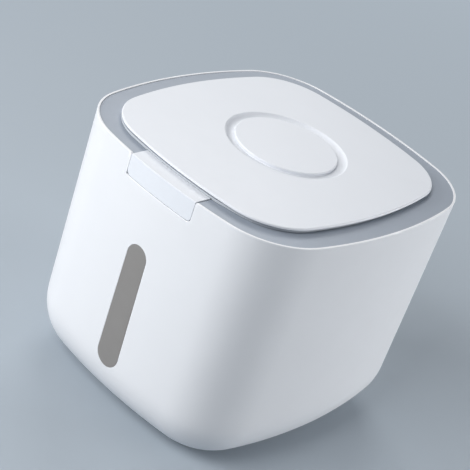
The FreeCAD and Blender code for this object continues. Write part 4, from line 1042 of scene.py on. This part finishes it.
class RICE_OT_latch(bpy.types.Operator):
    """Draw the press latch's skin from side to side and join it to its slider"""

    bl_idname = "rice_keeper.latch"
    bl_label = "Press latch"

    def execute(self, context):
        form = context.scene.keeper_latch
        shape = context.scene.keeper_bin
        low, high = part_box("latch_button")
        half = high.x
        start, middle = half - form.edge_round, half - form.left_corner
        steps = quarter(start, form.edge_round, form.edge_round, 0, -88, 4)
        steps += [(x, 0.0) for x in (start, *rows(start, middle, 8), *rows(middle, 0.0, 12))]
        steps += [(-x, inset) for x, inset in reversed(steps[:-1])]

        piece = loft("latch_cap", [
            [(x, *place) for place in latch_section(form, x, inset, low, high, shape)]
            for x, inset in steps])

        slider = merged_copy("latch_button", "slider")
        front, crown = low.y + 0.0019, high.z - 0.0010
        wide, ahead, under, over = 0.05, low.y - 0.01, low.z - 0.01, high.z + 0.01
        cut_away(slider, block((-wide, ahead, under), (wide, front, over)))
        cut_away(slider, block((-wide, ahead, crown), (wide, 0.0, over)))
        sides, lower_corners = (0.0008, 0.0, over), (0.0028, low.y + 0.006, low.z + 0.0030)
        for side in (-1, 1):
            for margin, back, top in (sides, lower_corners):
                inner, outer = sorted((side * (half - margin), side * wide))
                cut_away(slider, block((inner, ahead, under), (outer, back, top)))
        cut_away(piece, slider, "UNION")
        finish(piece, "latch_button")
        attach(piece, "latch")
        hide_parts("latch_button")
        return {"FINISHED"}


# ---------------------------------------------------------------- springs
class RICE_OT_springs(bpy.types.Operator):
    """Wind the latch's two coil springs and the hinge's two spring coils with their legs"""

    bl_idname = "rice_keeper.springs"
    bl_label = "Springs"

    def execute(self, context):
        form = context.scene.keeper_springs
        for side in ("left", "right"):
            node = f"latch_spring_{side}"
            low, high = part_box(node)
            middle = (low + high) / 2
            start, end = low.y + form.latch_wire, high.y - form.latch_wire
            path = coil(start, end, form.latch_turns, lambda along, turn: Vector((
                middle.x + form.latch_coil * math.cos(turn), along,
                middle.z - form.latch_coil * math.sin(turn))))
            piece = self.stand_in(bent_wire(f"latch_coil_{side}", path, form.latch_wire), node)
            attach(piece, "case")
            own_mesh(piece)

            node = f"torsion_spring_{side}"
            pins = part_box(f"hinge_pin_{side}")
            low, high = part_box(node)
            axis = (pins[0] + pins[1]) / 2
            start, end = low.x + form.hinge_wire, high.x - form.hinge_wire
            path = coil(start, end, form.hinge_turns + 0.5, lambda along, turn: Vector((
                along, axis.y + form.hinge_coil * math.sin(turn),
                axis.z - form.hinge_coil * math.cos(turn))))
            leg = Vector((0.0, form.leg, 0.0))
            path = [path[0] - leg, path[0] - leg * 0.05, *path, path[-1] - leg * 0.05,
                    path[-1] - leg]
            piece = self.stand_in(bent_wire(f"hinge_coil_{side}", path, form.hinge_wire), node)
            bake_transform(piece)
        return {"FINISHED"}

    def stand_in(self, piece, node):
        """Finishes a spring and puts it in the place of its node."""
        finish(piece, node)
        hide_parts(node)
        return piece


# ---------------------------------------------------------------- operators
class RICE_OT_finish_parts(bpy.types.Operator):
    """Give the small parts their steel, silicone and rubber"""

    bl_idname = "rice_keeper.finish_parts"
    bl_label = "Small parts"

    def execute(self, context):
        look = context.scene.keeper_finish
        # The last number lightens each finish's edges: a painted highlight with a little wear; the
        # bin's is larger, to paint its bright rim line.
        moulded = {
            "white_body": ("Bin white", look.body_white, 0.14),
            "white_lid": ("Lid white", look.lid_white, 0.04),
            "grey_under_lid": ("Under-lid grey", look.under_grey, 0.04),
            "grey_frame": ("Frame grey", look.frame_grey, 0.04),
            "grey_cap": ("Cap grey", look.cap_grey, 0.04),
            "white_latch": ("Latch white", look.lid_white, 0.04),
        }
        finishes = {slot: moulded_plastic(name, colour, look.roughness, look.grain, wear_and_highlight)
                    for slot, (name, colour, wear_and_highlight) in moulded.items()}
        finishes.update({
            "smoke_window": frosted_window("Smoke window", look.smoke, look.grain),
            "silicone": silicone("Silicone", (0.62, 0.63, 0.62)),
            "steel": drawn_steel("Steel", (0.62, 0.62, 0.61), 0.28),
            "spring_steel": drawn_steel("Spring steel", (0.52, 0.53, 0.54), 0.34),
            "foot_rubber": foot_rubber("Foot rubber", (0.10, 0.10, 0.105)),
        })
        for part in frame["record"]["subparts"]:
            dress(NODES[part["node"]], finishes[part["material_slot"]])
        return {"FINISHED"}


class RICE_OT_stage(bpy.types.Operator):
    """Lay the floor, hang the lamps and set the camera"""

    bl_idname = "rice_keeper.stage"
    bl_label = "Stage"

    def execute(self, context):
        look = context.scene.keeper_stage
        lay_floor(look.floor, look.distance)
        hang_lamp("Front lamp", (0.0, -1.56, 1.66), look.front_power)
        hang_lamp("Left lamp", (-1.46, -1.46, 0.85), look.left_power)
        hang_lamp("High lamp", (-1.10, 1.10, 1.66), look.high_power)
        hang_lamp("Rear lamp", (1.55, 1.55, 0.25), look.rear_power)
        light_room(look.sky, look.distance)
        set_camera()
        context.scene.view_settings.view_transform = "Standard"
        return {"FINISHED"}


def mix_shaders(tree, factor, first, second, output):
    """Blends two shaders by a factor into the tree's output."""
    blend = wire(tree, "MixShader", "Shader", {"Fac": factor, 1: first, 2: second})
    tree.links.new(blend, tree.nodes[output].inputs["Surface"])


def seen_directly(tree):
    """1 for a ray that shows the background itself, in a mirror or through glass too."""
    path = tree.nodes.new("ShaderNodeLightPath")
    seen = path.outputs["Is Camera Ray"]
    for other in ("Is Glossy Ray", "Is Transmission Ray"):
        seen = wire(tree, "Math", "Value", {0: seen, 1: path.outputs[other]},
                    operation="MAXIMUM")
    return seen


def lay_floor(colour, distance):
    """A wide plain floor that takes the keeper's shadow and fades to an even tone far off."""
    near, far = 0.45, 1.4
    floor = add(bpy.ops.mesh.primitive_plane_add, size=60.0)
    floor.name = "floor"
    material, tree, shader, where = new_material("Floor paper")
    clouds = noise(tree, where, 0.6, 2.0)
    fill(tree, shader, {
        "Base Color": tint(tree, clouds, scaled(colour, 0.98), scaled(colour, 1.02)),
        "Normal": bump(tree, noise(tree, where, 0.002, 2.0), 0.00003),
        "Roughness": 0.8, "Specular IOR Level": 0.2})
    reach = wire(tree, "VectorMath", "Value", {0: where}, operation="LENGTH")
    fade = wire(tree, "Math", "Value", {0: spread(tree, reach, 0.0, 1.0, near, far),
                                        1: seen_directly(tree)}, operation="MULTIPLY")
    glow = wire(tree, "Emission", "Emission", {"Color": (*distance, 1.0)})
    mix_shaders(tree, fade, shader.outputs["BSDF"], glow, "Material Output")
    dress(floor, material)


def hang_lamp(name, place, power):
    """A square soft lamp, a metre wide, that looks at the middle of the keeper."""
    lamp = bpy.data.lights.new(name, "AREA")
    lamp.size = 1.0
    lamp.energy = power
    holder = bpy.data.objects.new(name, lamp)
    bpy.context.scene.collection.objects.link(holder)
    holder.location = place
    aim = Vector((0.0, 0.0, 0.11)) - holder.location
    holder.rotation_euler = aim.to_track_quat("-Z", "Y").to_euler()


def light_room(strength, distance):
    """Even light from all round; what is seen of the room itself has the floor's far tone."""
    world = bpy.context.scene.world or bpy.data.worlds.new("Room")
    bpy.context.scene.world = world
    world.use_nodes = True
    tree = world.node_tree
    light = tree.nodes["Background"]
    fill(tree, light, {"Color": (0.93, 0.96, 1.0, 1.0), "Strength": strength})
    back = wire(tree, "Background", "Background", {"Color": (*distance, 1.0)})
    seen = tree.nodes.new("ShaderNodeLightPath").outputs["Is Camera Ray"]
    mix_shaders(tree, seen, light.outputs["Background"], back, "World Output")


def set_camera():
    """The view from above the front right, with the picture turned a little."""
    turn, lift, roll = (math.radians(angle) for angle in (34.30, 29.00, 19.54))
    unit = 0.125                    # the camera's distances are in half widths of the bin
    away, shift, drop = 9.3751, -0.2975, -0.5432
    focal, picture = 1460.2, 470    # the lens and the picture's width, in pixels
    film = 36
    back = Vector((math.sin(turn) * math.cos(lift), -math.cos(turn) * math.cos(lift),
                   math.sin(lift)))
    right = Vector((math.cos(turn), math.sin(turn), 0.0))
    up = right.cross(-back)
    across = right * math.cos(roll) + up * math.sin(roll)
    upright = up * math.cos(roll) - right * math.sin(roll)
    target = across * shift + upright * drop
    place = (target + back * away) * unit + Vector((0.0, 0.0, 0.2216))
    lens = bpy.data.cameras.new("Camera")
    lens.lens = focal / picture * film
    lens.sensor_width = film
    lens.clip_start = 0.05
    camera = bpy.data.objects.new("Camera", lens)
    bpy.context.scene.collection.objects.link(camera)
    rows = Matrix((across, upright, back)).transposed().to_4x4()
    camera.matrix_world = Matrix.Translation(place) @ rows
    bpy.context.scene.camera = camera


class RICE_PT_keeper(bpy.types.Panel):
    """Lists the keeper's sizes, finishes and pieces"""

    bl_idname = "RICE_PT_keeper"
    bl_label = "Rice Keeper"
    bl_space_type = "VIEW_3D"
    bl_region_type = "UI"
    bl_category = "Rice Keeper"

    def draw(self, context):
        for name, group in GROUPS.items():
            box = self.layout.box()
            for size in group.__annotations__:
                box.prop(getattr(context.scene, name), size)
        for operator in OPERATORS:
            self.layout.operator(operator.bl_idname)


OPERATORS = (
    RICE_OT_stage,
    RICE_OT_finish_parts,
    RICE_OT_bin_shell,
    RICE_OT_lid_shell,
    RICE_OT_under_lid,
    RICE_OT_latch,
    RICE_OT_window,
    RICE_OT_frame,
    RICE_OT_drying_cap,
    RICE_OT_springs,
)
GROUPS = {
    "keeper_bin": KeeperBin,
    "keeper_lid": KeeperLid,
    "keeper_latch": KeeperLatch,
    "keeper_cap": KeeperCap,
    "keeper_springs": KeeperSprings,
    "keeper_finish": KeeperFinish,
    "keeper_stage": KeeperStage,
}


def register():
    for item in (*GROUPS.values(), *OPERATORS, RICE_PT_keeper):
        bpy.utils.register_class(item)
    for name, group in GROUPS.items():
        setattr(bpy.types.Scene, name, bpy.props.PointerProperty(type=group))


def unregister():
    for name in GROUPS:
        delattr(bpy.types.Scene, name)
    for item in reversed((*GROUPS.values(), *OPERATORS, RICE_PT_keeper)):
        bpy.utils.unregister_class(item)


def main():
    register()
    bpy.ops.rice_keeper.stage()
    bpy.ops.rice_keeper.finish_parts()
    bpy.ops.rice_keeper.bin_shell()
    bpy.ops.rice_keeper.lid_shell()
    bpy.ops.rice_keeper.under_lid()
    bpy.ops.rice_keeper.latch()
    bpy.ops.rice_keeper.window()
    bpy.ops.rice_keeper.frame()
    bpy.ops.rice_keeper.drying_cap()
    bpy.ops.rice_keeper.springs()


if __name__ == "__main__":
    main()
